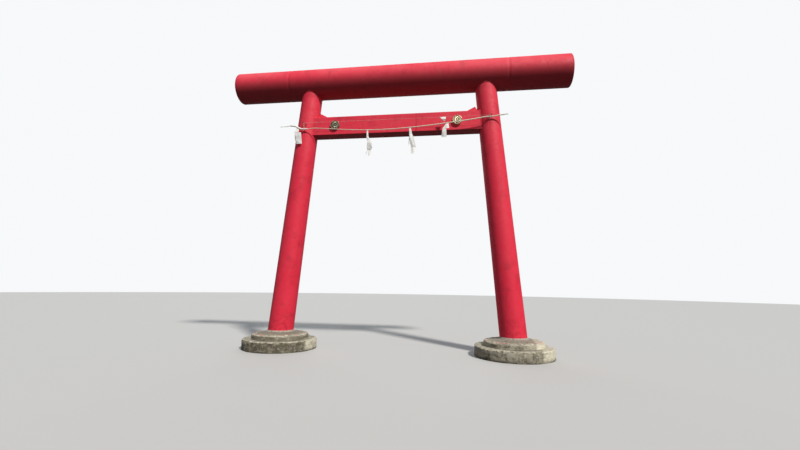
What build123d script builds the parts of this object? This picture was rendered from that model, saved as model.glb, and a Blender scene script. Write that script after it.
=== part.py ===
from build123d import *
import os
from math import tan, radians

# Shinmei-style torii of painted steel pipe, standing on round stepped base stones.
# Frame: +Z up, X along the top rail, the front faces -Y, origin on the ground midway between the posts.

# Posts
post_foot_spacing = 5470
post_head_spacing = 4370
post_foot_diameter = 600
post_top_diameter = 510
post_wall = 9
post_base_plate_thickness = 20

# Kasagi, the round top rail
kasagi_axis_height = 6650
kasagi_diameter = 780
kasagi_length = 8400
kasagi_wall = 9
kasagi_joint_offset = 2740
kasagi_joint_width = 45
kasagi_joint_recess = 4
kasagi_sleeve_reach = 120
kasagi_sleeve_wall = 10
end_cap_depth = 38
end_cap_edge_radius = 30

# Nuki, the tie beam between the posts
nuki_drop_below_kasagi_axis = 1440
nuki_height = 470
nuki_depth = 330
nuki_wall = 8
nuki_corner_radius = 10
nuki_joint_offset = 520
nuki_joint_width = 8
nuki_joint_recess = 3
nuki_sleeve_reach = 60
nuki_sleeve_wall = 6

# Wedges on top of the nuki, one beside each post
wedge_length = 280
wedge_depth = 180
wedge_height = 130
wedge_height_at_tip = 14
wedge_butt_slant = 62
wedge_edge_radius = 4

# Base stones and the mortar round each post's foot
lower_stone_diameter = 1720
lower_stone_height = 240
lower_stone_edge_radius = 28
upper_stone_diameter = 1320
upper_stone_height = 150
upper_stone_shoulder_height = 115
upper_stone_shoulder_radius = 45
upper_stone_crown_diameter = 720
stone_bore_clearance = 4
mortar_spread_at_stone = 34
mortar_spread_at_top = 12
mortar_height = 35

# Crests on the front of the nuki
crest_offset = 1515
crest_diameter = 228
crest_plate_thickness = 40
crest_rim_width = 18
crest_rim_height = 18
crest_web_height = 3
crest_petal_count = 12
crest_petal_length = 50
crest_petal_width = 30
crest_petal_height = 13
crest_petal_crown_width = 12
crest_petal_edge_radius = 3
crest_petal_circle_radius = 63
crest_boss_diameter = 62
crest_boss_height = 20

# Rope hooks on the front of the posts
hook_height_above_nuki_underside = 252
hook_rod_diameter = 14
hook_inset = 48
hook_leg_length = 72
hook_reach = 47
hook_tip_rise = 62
hook_bend_radius = 16

# Rope, its ties and the taut string above it
rope_diameter = 24
wrapped_end_diameter = 50
rope_start_drop = 140
tie_rod_diameter = 5
tie_width = 50
string_diameter = 5
string_height_above_hook = 22

# Paper streamers, each a chain of folded panels
paper_thickness = 2
fold_overlap = 1

# Clearances
seat_gap = 0.3

# Values worked out from the sizes above
lean_per_height = (post_foot_spacing - post_head_spacing) / 2 / kasagi_axis_height
taper_per_height = (post_foot_diameter - post_top_diameter) / 2 / kasagi_axis_height
post_axis_length = kasagi_axis_height * (1 + lean_per_height**2) ** 0.5
post_below_ground = 100
kasagi_radius = kasagi_diameter / 2
stones_height = lower_stone_height + upper_stone_height
nuki_underside_height = kasagi_axis_height - nuki_drop_below_kasagi_axis
nuki_mid_height = nuki_underside_height + nuki_height / 2
nuki_top_height = nuki_underside_height + nuki_height
hook_height = nuki_underside_height + hook_height_above_nuki_underside
nuki_front = -nuki_depth / 2
crest_face = nuki_front - crest_plate_thickness
sides = {"left": -1, "right": 1}


def post_axis_offset(height):
    """Distance of a post's axis from the middle of the gate at a height."""
    return post_foot_spacing / 2 - lean_per_height * height


def post_radius(height):
    """Outer radius of a post at a height."""
    return post_foot_diameter / 2 - taper_per_height * height


def post_plane(side):
    """Plane across a post's axis, a little below the ground, with its Z up the leaning axis."""
    foot = Vector(side * post_axis_offset(0), 0, 0)
    head = Vector(side * post_axis_offset(kasagi_axis_height), 0, kasagi_axis_height)
    return Plane(origin=foot, x_dir=(0, -1, 0), z_dir=head - foot).offset(-post_below_ground)


def post_cone(side, grow):
    """A post's full tapering outline, grown by a clearance, to cut whatever fits round it."""
    cone = Cone(
        bottom_radius=post_radius(-post_below_ground) + grow,
        top_radius=post_radius(kasagi_axis_height) + grow,
        height=post_axis_length + post_below_ground,
        align=(Align.CENTER, Align.CENTER, Align.MIN),
        mode=Mode.PRIVATE,
    )
    return post_plane(side).location * cone


def save(part, name):
    """Label a finished piece and write it to its own file."""
    part.label = name
    export_step(part, f"parts/{name}.step")


os.makedirs("parts", exist_ok=True)

# Posts: tapered pipes that lean inward, level at the ground and saddle-cut under the kasagi
for side_name, side in sides.items():
    with BuildPart() as post:
        add(post_cone(side, 0))
        add(post_cone(side, -post_wall), mode=Mode.SUBTRACT)
        split(bisect_by=Plane.XY, keep=Keep.TOP)
        with Locations((0, 0, kasagi_axis_height)):
            Cylinder(
                radius=kasagi_radius + seat_gap,
                height=kasagi_length,
                rotation=(0, 90, 0),
                mode=Mode.SUBTRACT,
            )
    save(post.part, f"{side_name}_post")

    # A welded disc closes the pipe's foot
    with BuildPart() as base_plate:
        add(post_cone(side, -post_wall - seat_gap))
        split(bisect_by=Plane.XY, keep=Keep.TOP)
        split(bisect_by=Plane.XY.offset(post_base_plate_thickness), keep=Keep.BOTTOM)
    save(base_plate.part, f"{side_name}_post_base_plate")

# Kasagi: a long middle pipe and a shorter one at each end, joined over an inner sleeve
middle_pipe_end = kasagi_joint_offset - kasagi_joint_width / 2
outer_pipe_start = kasagi_joint_offset + kasagi_joint_width / 2
end_cap_start = kasagi_length / 2 - end_cap_depth
with BuildPart() as kasagi_middle:
    with BuildSketch(Plane.YZ.offset(-middle_pipe_end)):
        with Locations((0, kasagi_axis_height)):
            Circle(kasagi_radius)
            Circle(kasagi_radius - kasagi_wall, mode=Mode.SUBTRACT)
    extrude(amount=2 * middle_pipe_end)
save(kasagi_middle.part, "kasagi_middle_pipe")

for side_name, side in sides.items():
    pipe_plane = Plane.YZ.offset(outer_pipe_start)
    sleeve_plane = Plane.YZ.offset(kasagi_joint_offset - kasagi_sleeve_reach)

    with BuildPart() as kasagi_outer:
        with BuildSketch(pipe_plane):
            with Locations((0, kasagi_axis_height)):
                Circle(kasagi_radius)
                Circle(kasagi_radius - kasagi_wall, mode=Mode.SUBTRACT)
        extrude(amount=end_cap_start - seat_gap - outer_pipe_start)
        if side < 0:
            mirror(about=Plane.YZ, mode=Mode.REPLACE)
    save(kasagi_outer.part, f"kasagi_{side_name}_pipe")

    # The sleeve lies inside both pipes, and its raised middle fills the joint almost flush
    with BuildPart() as sleeve:
        with BuildSketch(sleeve_plane):
            with Locations((0, kasagi_axis_height)):
                Circle(kasagi_radius - kasagi_wall - seat_gap)
                Circle(kasagi_radius - kasagi_wall - kasagi_sleeve_wall, mode=Mode.SUBTRACT)
        extrude(amount=2 * kasagi_sleeve_reach)
        with BuildSketch(Plane.YZ.offset(middle_pipe_end + seat_gap)):
            with Locations((0, kasagi_axis_height)):
                Circle(kasagi_radius - kasagi_joint_recess)
                Circle(kasagi_radius - kasagi_wall - kasagi_sleeve_wall, mode=Mode.SUBTRACT)
        extrude(amount=kasagi_joint_width - 2 * seat_gap)
        if side < 0:
            mirror(about=Plane.YZ, mode=Mode.REPLACE)
    save(sleeve.part, f"kasagi_{side_name}_joint_sleeve")

    # The end is a pressed cap, butt-welded to the pipe and rounded over at its edge
    with BuildPart() as end_plate:
        with BuildSketch(Plane.YZ.offset(end_cap_start)):
            with Locations((0, kasagi_axis_height)):
                Circle(kasagi_radius)
        extrude(amount=end_cap_depth)
        fillet(end_plate.faces().sort_by(Axis.X)[-1].edges(), radius=end_cap_edge_radius)
        with BuildSketch(Plane.YZ.offset(end_cap_start)):
            with Locations((0, kasagi_axis_height)):
                Circle(kasagi_radius - 2 * kasagi_wall)
        extrude(amount=end_cap_depth - kasagi_wall, mode=Mode.SUBTRACT)
        if side < 0:
            mirror(about=Plane.YZ, mode=Mode.REPLACE)
    save(end_plate.part, f"kasagi_{side_name}_end_plate")

# Nuki: a box beam in two lengths, its ends coped to the posts
nuki_spans = {
    "left": (-post_axis_offset(nuki_mid_height), nuki_joint_offset - nuki_joint_width / 2),
    "right": (nuki_joint_offset + nuki_joint_width / 2, post_axis_offset(nuki_mid_height)),
}
for side_name, (span_start, span_end) in nuki_spans.items():
    with BuildPart() as nuki:
        with BuildSketch(Plane.YZ.offset(span_start)):
            with Locations((0, nuki_mid_height)):
                RectangleRounded(nuki_depth, nuki_height, nuki_corner_radius)
                Rectangle(nuki_depth - 2 * nuki_wall, nuki_height - 2 * nuki_wall, mode=Mode.SUBTRACT)
        extrude(amount=span_end - span_start)
        add(post_cone(sides[side_name], seat_gap), mode=Mode.SUBTRACT)
    save(nuki.part, f"nuki_{side_name}_length")

# A short frame inside the nuki carries its joint and shows at the bottom of the seam
with BuildPart() as nuki_sleeve:
    sleeve_depth = nuki_depth - 2 * nuki_wall - 2 * seat_gap
    sleeve_height = nuki_height - 2 * nuki_wall - 2 * seat_gap
    with BuildSketch(Plane.YZ.offset(nuki_joint_offset - nuki_sleeve_reach)):
        with Locations((0, nuki_mid_height)):
            Rectangle(sleeve_depth, sleeve_height)
            Rectangle(
                sleeve_depth - 2 * nuki_sleeve_wall,
                sleeve_height - 2 * nuki_sleeve_wall,
                mode=Mode.SUBTRACT,
            )
    extrude(amount=2 * nuki_sleeve_reach)
    with BuildSketch(Plane.YZ.offset(nuki_joint_offset - nuki_joint_width / 2 + seat_gap)):
        with Locations((0, nuki_mid_height)):
            RectangleRounded(
                nuki_depth - 2 * nuki_joint_recess,
                nuki_height - 2 * nuki_joint_recess,
                nuki_corner_radius - nuki_joint_recess,
            )
            Rectangle(
                sleeve_depth - 2 * nuki_sleeve_wall,
                sleeve_height - 2 * nuki_sleeve_wall,
                mode=Mode.SUBTRACT,
            )
    extrude(amount=nuki_joint_width - 2 * seat_gap)
save(nuki_sleeve.part, "nuki_joint_frame")

# Wedges: they rise from a thin tip to a butt that slants back down to the post's foot on the nuki
for side_name, side in sides.items():
    post_face = post_axis_offset(nuki_top_height) - post_radius(nuki_top_height)
    post_half_chord = (post_radius(nuki_top_height) ** 2 - (wedge_depth / 2) ** 2) ** 0.5
    wedge_foot = post_axis_offset(nuki_top_height) - post_half_chord
    wedge_base = nuki_top_height + seat_gap
    with BuildPart() as wedge:
        with BuildSketch(Plane.XZ.offset(-wedge_depth / 2)):
            with BuildLine():
                Polyline(
                    (side * (post_face - wedge_length), wedge_base),
                    (side * wedge_foot, wedge_base),
                    (side * (post_face - wedge_butt_slant), wedge_base + wedge_height),
                    (side * (post_face - wedge_length), wedge_base + wedge_height_at_tip),
                    close=True,
                )
            make_face()
        extrude(amount=wedge_depth)
        add(post_cone(side, seat_gap), mode=Mode.SUBTRACT)
        top_corners = wedge.edges().filter_by(Axis.Y).sort_by(Axis.Z)[-2:]
        fillet(top_corners, radius=wedge_edge_radius)
    save(wedge.part, f"{side_name}_wedge")

# Base stones: a drum with a rounded edge, and on it a smaller one whose top slopes up to the post
stone_centre_offset = post_axis_offset(stones_height)
for side_name, side in sides.items():
    lower_radius = lower_stone_diameter / 2
    upper_radius = upper_stone_diameter / 2
    with BuildPart() as lower_stone:
        with Locations((side * stone_centre_offset, 0, 0)):
            Cylinder(lower_radius, lower_stone_height, align=(Align.CENTER, Align.CENTER, Align.MIN))
        fillet(lower_stone.faces().sort_by(Axis.Z)[-1].edges(), radius=lower_stone_edge_radius)
        add(post_cone(side, stone_bore_clearance), mode=Mode.SUBTRACT)
    save(lower_stone.part, f"{side_name}_lower_stone")

    with BuildPart() as upper_stone:
        with BuildSketch(Plane(origin=(side * stone_centre_offset, 0, lower_stone_height + seat_gap),
                               x_dir=(1, 0, 0), z_dir=(0, -1, 0))) as upper_profile:
            with BuildLine():
                Polyline(
                    (0, 0),
                    (upper_radius, 0),
                    (upper_radius, upper_stone_shoulder_height),
                    (upper_stone_crown_diameter / 2, upper_stone_height - seat_gap),
                    (0, upper_stone_height - seat_gap),
                    close=True,
                )
            make_face()
            shoulder = upper_profile.vertices().sort_by(Axis.X)[-2:].sort_by(Axis.Y)[-1]
            fillet(shoulder, radius=upper_stone_shoulder_radius)
        revolve(axis=Axis((side * stone_centre_offset, 0, 0), (0, 0, 1)))
        add(post_cone(side, stone_bore_clearance), mode=Mode.SUBTRACT)
    save(upper_stone.part, f"{side_name}_upper_stone")

    with BuildPart() as mortar:
        with Locations((side * stone_centre_offset, 0, stones_height + seat_gap)):
            Cone(
                bottom_radius=post_radius(stones_height) + mortar_spread_at_stone,
                top_radius=post_radius(stones_height) + mortar_spread_at_top,
                height=mortar_height,
                align=(Align.CENTER, Align.CENTER, Align.MIN),
            )
        add(post_cone(side, seat_gap), mode=Mode.SUBTRACT)
    save(mortar.part, f"{side_name}_foot_mortar")

# One petal of a crest: a narrow crown over a wider outline
with BuildPart() as petal:
    with BuildSketch():
        Ellipse(crest_petal_length / 2, crest_petal_width / 2)
    with BuildSketch(Plane.XY.offset(crest_petal_height)):
        Ellipse((crest_petal_length + crest_petal_crown_width - crest_petal_width) / 2, crest_petal_crown_width / 2)
    loft()
    fillet(petal.faces().sort_by(Axis.Z)[-1].edges(), radius=crest_petal_edge_radius)

# Crests: a thick round block on the nuki with a raised rim, a ring of domed petals and a boss
crest_radius = crest_diameter / 2
for side_name, side in sides.items():
    crest_centre = (side * crest_offset, nuki_mid_height)
    plate_plane = Plane.XZ.offset(-nuki_front + seat_gap)
    relief_plane = Plane.XZ.offset(-crest_face + 2 * seat_gap)

    with BuildPart() as crest_plate:
        with BuildSketch(plate_plane):
            with Locations(crest_centre):
                Circle(crest_radius)
        extrude(amount=crest_plate_thickness)
    save(crest_plate.part, f"{side_name}_crest_plate")

    with BuildPart() as crest_rim:
        with BuildSketch(relief_plane):
            with Locations(crest_centre):
                Circle(crest_radius)
                Circle(crest_radius - crest_rim_width, mode=Mode.SUBTRACT)
        extrude(amount=crest_rim_height)
        fillet(crest_rim.faces().sort_by(Axis.Y)[0].edges(), radius=crest_rim_width * 0.3)
    save(crest_rim.part, f"{side_name}_crest_rim")

    with BuildPart() as crest_petals:
        with BuildSketch(relief_plane):
            with Locations(crest_centre):
                Circle(crest_petal_circle_radius + crest_petal_length / 4)
                Circle(crest_boss_diameter / 2 + seat_gap, mode=Mode.SUBTRACT)
        extrude(amount=crest_web_height)
        with Locations(relief_plane.location * Location((*crest_centre, 0))):
            with PolarLocations(crest_petal_circle_radius, crest_petal_count):
                add(petal.part)
        with BuildSketch(relief_plane):
            with Locations(crest_centre):
                Circle(crest_boss_diameter / 2 + seat_gap)
        extrude(amount=crest_petal_height, mode=Mode.SUBTRACT)
    save(crest_petals.part, f"{side_name}_crest_petals")

    with BuildPart() as crest_boss:
        with BuildSketch(relief_plane):
            with Locations(crest_centre):
                Circle(crest_boss_diameter / 2)
        extrude(amount=crest_boss_height)
        fillet(crest_boss.faces().sort_by(Axis.Y)[0].edges(), radius=crest_boss_height * 0.8)
    save(crest_boss.part, f"{side_name}_crest_boss")

# Rope hooks: bent rods that leave the post, turn sideways and end in a raised tip
hook_axis_offset = post_axis_offset(hook_height)
post_front = -post_radius(hook_height)
hook_leg_front = post_front - hook_reach
hook_stem_offset = hook_axis_offset - hook_inset
hook_tip_offset = hook_stem_offset + hook_leg_length
for side_name, side in sides.items():
    with BuildPart() as hook:
        with BuildLine() as hook_path:
            FilletPolyline(
                (side * hook_stem_offset, 0, hook_height),
                (side * hook_stem_offset, hook_leg_front, hook_height),
                (side * hook_tip_offset, hook_leg_front, hook_height),
                (side * hook_tip_offset, hook_leg_front, hook_height + hook_tip_rise),
                radius=hook_bend_radius,
            )
        with BuildSketch(Plane(origin=hook_path.line @ 0, z_dir=hook_path.line % 0)):
            Circle(hook_rod_diameter / 2)
        sweep()
        add(post_cone(side, seat_gap), mode=Mode.SUBTRACT)
    save(hook.part, f"{side_name}_rope_hook")

# Rope: sags from tie to tie, with a stiff tail past each post
rope_front = hook_leg_front
rope_start_height = hook_height - rope_start_drop
rope_end_height = hook_height - hook_rod_diameter / 2 - rope_diameter / 2 - 1
tie_offset = (hook_stem_offset + hook_tip_offset) / 2
rope_route = [
    (-tie_offset, rope_front, rope_start_height),
    (-2180, rope_front, rope_start_height),
    (-2060, rope_front - 1, hook_height - 124),
    (-1860, rope_front - 3, hook_height - 136),
    (-1520, rope_front - 6, hook_height - 169),
    (-1180, rope_front - 8, hook_height - 200),
    (-820, rope_front - 9, hook_height - 226),
    (-425, rope_front - 10, hook_height - 238),
    (-70, rope_front - 10, hook_height - 234),
    (280, rope_front - 9, hook_height - 218),
    (675, rope_front - 8, hook_height - 192),
    (1060, rope_front - 6, hook_height - 158),
    (1465, rope_front - 4, hook_height - 113),
    (1790, rope_front - 1, hook_height - 78),
    (2020, rope_front, hook_height - 46),
    (2165, rope_front, rope_end_height),
    (tie_offset + 55, rope_front, rope_end_height),
    (2430, rope_front - 1, hook_height - 4),
    (2550, rope_front - 2, hook_height + 14),
    (2673, rope_front - 2, hook_height + 26),
]
wrapped_route = [
    (-tie_offset - seat_gap, rope_front, rope_start_height),
    (-2345, rope_front, rope_start_height),
    (-2430, rope_front - 1, hook_height - 90),
    (-2520, rope_front - 3, hook_height - 48),
    (-2620, rope_front - 4, hook_height - 38),
    (-2730, rope_front - 4, hook_height - 60),
    (-2855, rope_front - 3, hook_height - 58),
]


def bend_radii(route):
    """The largest arc that each corner of a route leaves room for."""
    points = [Vector(*point) for point in route]
    radii = []
    for before, corner, after in zip(points, points[1:], points[2:]):
        run_in = corner - before
        run_out = after - corner
        half_turn = radians(run_in.get_angle(run_out) / 2)
        radii.append(0.45 * min(run_in.length, run_out.length) / tan(half_turn))
    return radii


def cord_tube(route, diameter):
    """A round cord along straight runs joined by tangent arcs."""
    radii = bend_radii(route)
    print("bend radii", [round(radius) for radius in radii])
    with BuildPart() as tube:
        with BuildLine() as path:
            FilletPolyline(*route, radius=radii)
        with BuildSketch(Plane(origin=path.line @ 0, z_dir=path.line % 0)) as section:
            Circle(diameter / 2)
        sweep()
    route_length = path.wire().length
    swept_volume = section.sketch.area * route_length
    print("cord length", round(route_length), "volume ratio", round(tube.part.volume / swept_volume, 5))
    return tube.part


def route_run(route, offset):
    """The straight run of a route that passes over a distance along X, from low X to high X."""
    ordered = [Vector(*point) for point in sorted(route)]
    for start, end in zip(ordered, ordered[1:]):
        if start.X <= offset <= end.X:
            return start, end


save(cord_tube(rope_route, rope_diameter), "rope")
save(cord_tube(wrapped_route, wrapped_end_diameter), "rope_wrapped_end")

# Ties: closed loops of thin rod round the hook's leg and the rope below it
tie_loops = {
    "left": (-tie_offset, rope_start_height, wrapped_end_diameter),
    "right": (tie_offset, rope_end_height, rope_diameter),
}
for side_name, (tie_x, rope_height, held_diameter) in tie_loops.items():
    loop_radius = held_diameter / 2 + tie_rod_diameter / 2 + seat_gap
    top_centre = hook_height + hook_rod_diameter / 2 + seat_gap + tie_rod_diameter / 2 - loop_radius
    with BuildPart() as tie:
        with BuildLine(Plane.YZ.offset(tie_x)) as loop:
            lower_arc = CenterArc((rope_front, rope_height), loop_radius, start_angle=180, arc_size=180)
            upper_arc = CenterArc((rope_front, top_centre), loop_radius, start_angle=0, arc_size=180)
            Line(lower_arc @ 1, upper_arc @ 0)
            Line(upper_arc @ 1, lower_arc @ 0)
        with BuildSketch(Plane(origin=lower_arc @ 0, z_dir=lower_arc % 0)):
            Circle(tie_rod_diameter / 2)
        sweep()
    save(tie.part, f"{side_name}_rope_tie")

# String: a taut line between the raised tips of the hooks
string_end_offset = hook_tip_offset - hook_rod_diameter / 2 - seat_gap
string_height = hook_height + string_height_above_hook
string_route = [
    (-string_end_offset, hook_leg_front, string_height),
    (string_end_offset, hook_leg_front, string_height),
]
with BuildPart() as string:
    with Locations((0, hook_leg_front, string_height)):
        Cylinder(radius=string_diameter / 2, height=2 * string_end_offset, rotation=(0, 90, 0))
save(string.part, "taut_string")

# Streamers: flat panels folded to and fro. Each panel gives its left and right edge at its top and
# bottom, both drops below the hanging point, and how far forward (-) or back (+) each end stands.
streamers = {
    "streamer_left_post": dict(offset=-2436, route=wrapped_route, hung_on=wrapped_end_diameter, panels=[
        ((-30, 40), (-92, 36), (0, 118), (0, -24)),
        ((-62, 98), (-13, 131), (118, 405), (-24, 10)),
        ((-64, -20), (-60, -8), (150, 325), (-20, 16)),
    ]),
    "streamer_left_middle": dict(offset=-651, route=rope_route, hung_on=rope_diameter, panels=[
        ((-9, 10), (-7, 24), (0, 158), (0, -8)),
        ((-7, 24), (10, 117), (158, 320), (-8, -22)),
        ((10, 117), (0, 132), (320, 435), (-22, -6)),
        ((0, 132), (10, 99), (435, 505), (-6, 14)),
        ((2, 29), (-44, -16), (505, 635), (14, -8)),
        ((35, 99), (33, 80), (505, 655), (14, 2)),
    ]),
    "streamer_right_middle": dict(offset=390, route=rope_route, hung_on=rope_diameter, panels=[
        ((-10, 12), (-8, 20), (0, 165), (0, -6)),
        ((-8, 20), (0, 96), (165, 265), (-6, -18)),
        ((0, 96), (24, 151), (265, 490), (-18, 8)),
        ((24, 120), (26, 116), (490, 655), (8, -12)),
        ((-8, 5), (-38, -15), (160, 442), (-6, 14)),
    ]),
    "streamer_right_crest": dict(offset=1283, route=rope_route, hung_on=rope_diameter, panels=[
        ((-22, 24), (-116, 42), (0, 135), (0, -30)),
        ((-116, -26), (-146, -22), (135, 343), (-30, 4)),
    ]),
    "string_flap": dict(offset=1180, route=string_route, hung_on=string_diameter, panels=[
        ((-72, 70), (-28, 62), (0, 60), (0, -20)),
        ((-28, 62), (8, 52), (60, 102), (-20, 4)),
    ]),
}


def folded_paper(hung_from, panels):
    """Flat panels that hang one from another, as one sheet."""
    with BuildPart() as paper:
        for (top_left, top_right), (bottom_left, bottom_right), drops, depths in panels:
            panel_top = hung_from + Vector(0, depths[0], -drops[0])
            panel_fall = Vector(0, depths[1] - depths[0], drops[0] - drops[1])
            panel_plane = Plane(origin=panel_top, x_dir=(1, 0, 0), z_dir=panel_fall.cross(Vector(1, 0, 0)))
            foot = panel_fall.length
            with BuildSketch(panel_plane):
                with BuildLine():
                    Polyline((top_left, 0), (top_right, 0), (bottom_right, -foot), (bottom_left, -foot), close=True)
                make_face()
            extrude(amount=paper_thickness / 2, both=True)
            with BuildSketch(panel_plane):
                with Locations(((bottom_left + bottom_right) / 2, -foot)):
                    Rectangle(bottom_right - bottom_left, 2 * fold_overlap)
            extrude(amount=paper_thickness / 2, both=True)
    return paper.part


for name, streamer in streamers.items():
    run_start, run_end = route_run(streamer["route"], streamer["offset"])
    run = run_end - run_start
    hung_at = run_start + run * ((streamer["offset"] - run_start.X) / run.X)
    slope = abs(run.Z / run.X)
    underside = hung_at.Z - streamer["hung_on"] / 2 * (1 + slope**2) ** 0.5
    neck = streamer["panels"][0][0]
    half_neck = max(-neck[0], neck[1])
    hung_from = Vector(streamer["offset"], hung_at.Y, underside - slope * half_neck - seat_gap)
    save(folded_paper(hung_from, streamer["panels"]), name)
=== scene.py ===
"""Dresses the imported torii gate: paint, stone, bronze, rope and paper round its fixed frame.

Every piece is in metres in the row frame: +Z up, X along the top rail, and the front faces -Y.
"""

import logging
import math
import random
from contextlib import contextmanager
from dataclasses import dataclass, field
from enum import Enum
from functools import reduce
from typing import Callable, Iterator, Sequence

import bmesh
import bpy
from mathutils import Matrix, Quaternion, Vector, noise


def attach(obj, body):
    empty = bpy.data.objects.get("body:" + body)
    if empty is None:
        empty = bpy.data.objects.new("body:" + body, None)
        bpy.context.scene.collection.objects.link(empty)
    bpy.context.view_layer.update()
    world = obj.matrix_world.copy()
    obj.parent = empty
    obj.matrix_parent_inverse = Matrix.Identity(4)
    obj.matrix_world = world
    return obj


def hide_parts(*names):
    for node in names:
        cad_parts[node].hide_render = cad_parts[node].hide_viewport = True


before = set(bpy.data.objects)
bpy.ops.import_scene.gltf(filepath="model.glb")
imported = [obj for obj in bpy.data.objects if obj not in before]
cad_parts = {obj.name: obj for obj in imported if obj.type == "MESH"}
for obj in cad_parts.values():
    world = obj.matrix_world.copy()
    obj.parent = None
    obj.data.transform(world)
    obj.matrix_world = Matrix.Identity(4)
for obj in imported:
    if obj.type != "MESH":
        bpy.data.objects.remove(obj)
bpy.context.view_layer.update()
LOG = logging.getLogger("torii")
Colour = tuple[float, float, float]
Place = tuple[float, float, float]
Limits = tuple[float, float]
Outline = Sequence[tuple[float, float]]
Piece = bpy.types.Object
Material = bpy.types.Material
Socket = bpy.types.NodeSocket

STRAND_MAP = "strand"
HOOK_OFFSET = 2.2713
WRAP_END = -2.640


class Side(Enum):
    """The gate's two halves, as seen from its front."""

    LEFT = -1
    RIGHT = 1

    @property
    def label(self) -> str:
        """The word that the frame's node names use for this side."""
        return self.name.lower()


class Slot(Enum):
    """The names of the material slots."""

    PAINT = "painted_steel"
    STONE = "base_stone"
    MORTAR = "mortar"
    BRONZE = "crest_bronze"
    DARK_STEEL = "dark_steel"
    STRAW = "straw_rope"
    STRING = "pale_string"
    PAPER = "white_paper"


@dataclass(frozen=True)
class GateLines:
    """Main lines that the finishes, skins, welds, stones and fittings follow, in metres."""

    spacing_at_ground: float = 5.470
    spacing_at_kasagi: float = 4.370
    foot_diameter: float = 0.600
    top_diameter: float = 0.510
    kasagi_height: float = 6.650
    kasagi_diameter: float = 0.780
    kasagi_joint: Limits = (2.7175, 2.7625)
    kasagi_end: float = 4.1617
    nuki_low: float = 5.210
    nuki_high: float = 5.680
    nuki_half_depth: float = 0.165
    nuki_corner: float = 0.010
    nuki_seam: float = 0.520
    saddle_search: Limits = (5.9, 6.7)
    inward_search: Limits = (0.0, 0.4)

    @property
    def lean(self) -> float:
        """How far the right post's axis moves along X in a metre of height."""
        return (self.spacing_at_kasagi - self.spacing_at_ground) / 2 / self.kasagi_height

    @property
    def nuki_middle(self) -> float:
        """The height of the nuki's middle."""
        return (self.nuki_low + self.nuki_high) / 2

    def axis(self, side: Side) -> Vector:
        """The way up a post's axis."""
        return Vector((side.value * self.lean, 0.0, 1.0)).normalized()

    def axis_offset(self, height: float) -> float:
        """A post's axis distance from the middle at a height."""
        return self.spacing_at_ground / 2 + self.lean * height

    def post_radius(self, height: float) -> float:
        """A post's radius at a height."""
        return between(self.foot_diameter, self.top_diameter, height / self.kasagi_height) / 2

    def on_post(self, side: Side, height: float, angle: float, grow: float = 0.0) -> Vector:
        """A point on a post's surface.

        Args:
            side: Which post.
            height: The height of the axis point that the ring stands on.
            angle: The turn round the axis, 0 towards +X and a quarter turn towards +Y.
            grow: How far outside the surface.

        Returns:
            The point.
        """
        axis = self.axis(side)
        across = Vector((axis.z, 0.0, -axis.x))
        radius = self.post_radius(height) + grow
        centre = Vector((side.value * self.axis_offset(height), 0.0, height))
        return centre + across * (radius * math.cos(angle)) + Vector((0, 1, 0)) * (radius * math.sin(angle))

    def saddle_height(self, side: Side, angle: float, gap: float, grow: float = 0.0) -> float:
        """The axis height at which a post's skin comes up to the underside of the kasagi.

        Args:
            side: Which post.
            angle: The turn round the post's axis.
            gap: How far it stays off the kasagi.
            grow: How far outside the post's surface the point is.

        Returns:
            The height.
        """
        def below(height: float) -> bool:
            """Whether the post's point is still clear of the kasagi."""
            point = self.on_post(side, height, angle, grow)
            return math.hypot(point.y, point.z - self.kasagi_height) > self.kasagi_diameter / 2 + gap

        return last_holding(*self.saddle_search, below)

    def beside_post(self, side: Side, y: float, z: float, gap: float) -> Vector:
        """The point that stands off a post's inner side at a depth and height.

        Args:
            side: Which post.
            y: The depth.
            z: The height.
            gap: How far it stands off the post.

        Returns:
            The point.
        """
        axis = self.axis(side)
        foot = Vector((side.value * self.axis_offset(0), 0.0, 0.0))

        def inside(inward: float) -> bool:
            """Whether a point this far inward from the axis is still in the post.

            Args:
                inward: How far.

            Returns:
                Whether it is.
            """
            arm = Vector((side.value * (self.axis_offset(z) - inward), y, z)) - foot
            along = arm.dot(axis)
            return (arm - axis * along).length < self.post_radius(along * axis.z) + gap

        inward = last_holding(*self.inward_search, inside)
        return Vector((side.value * (self.axis_offset(z) - inward), y, z))


LINES = GateLines()


@dataclass(frozen=True)
class Spots:
    """A noise pattern, and the limits between which it rises from the mask's least value to 1."""

    scale: float
    detail: float
    rough: float
    limits: Limits
    least: float = 0.0
    stretch: Place = (1, 1, 1)
    offset: Place = (0, 0, 0)
    warp: float = 0.0


Mask = Spots | Socket | float


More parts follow.
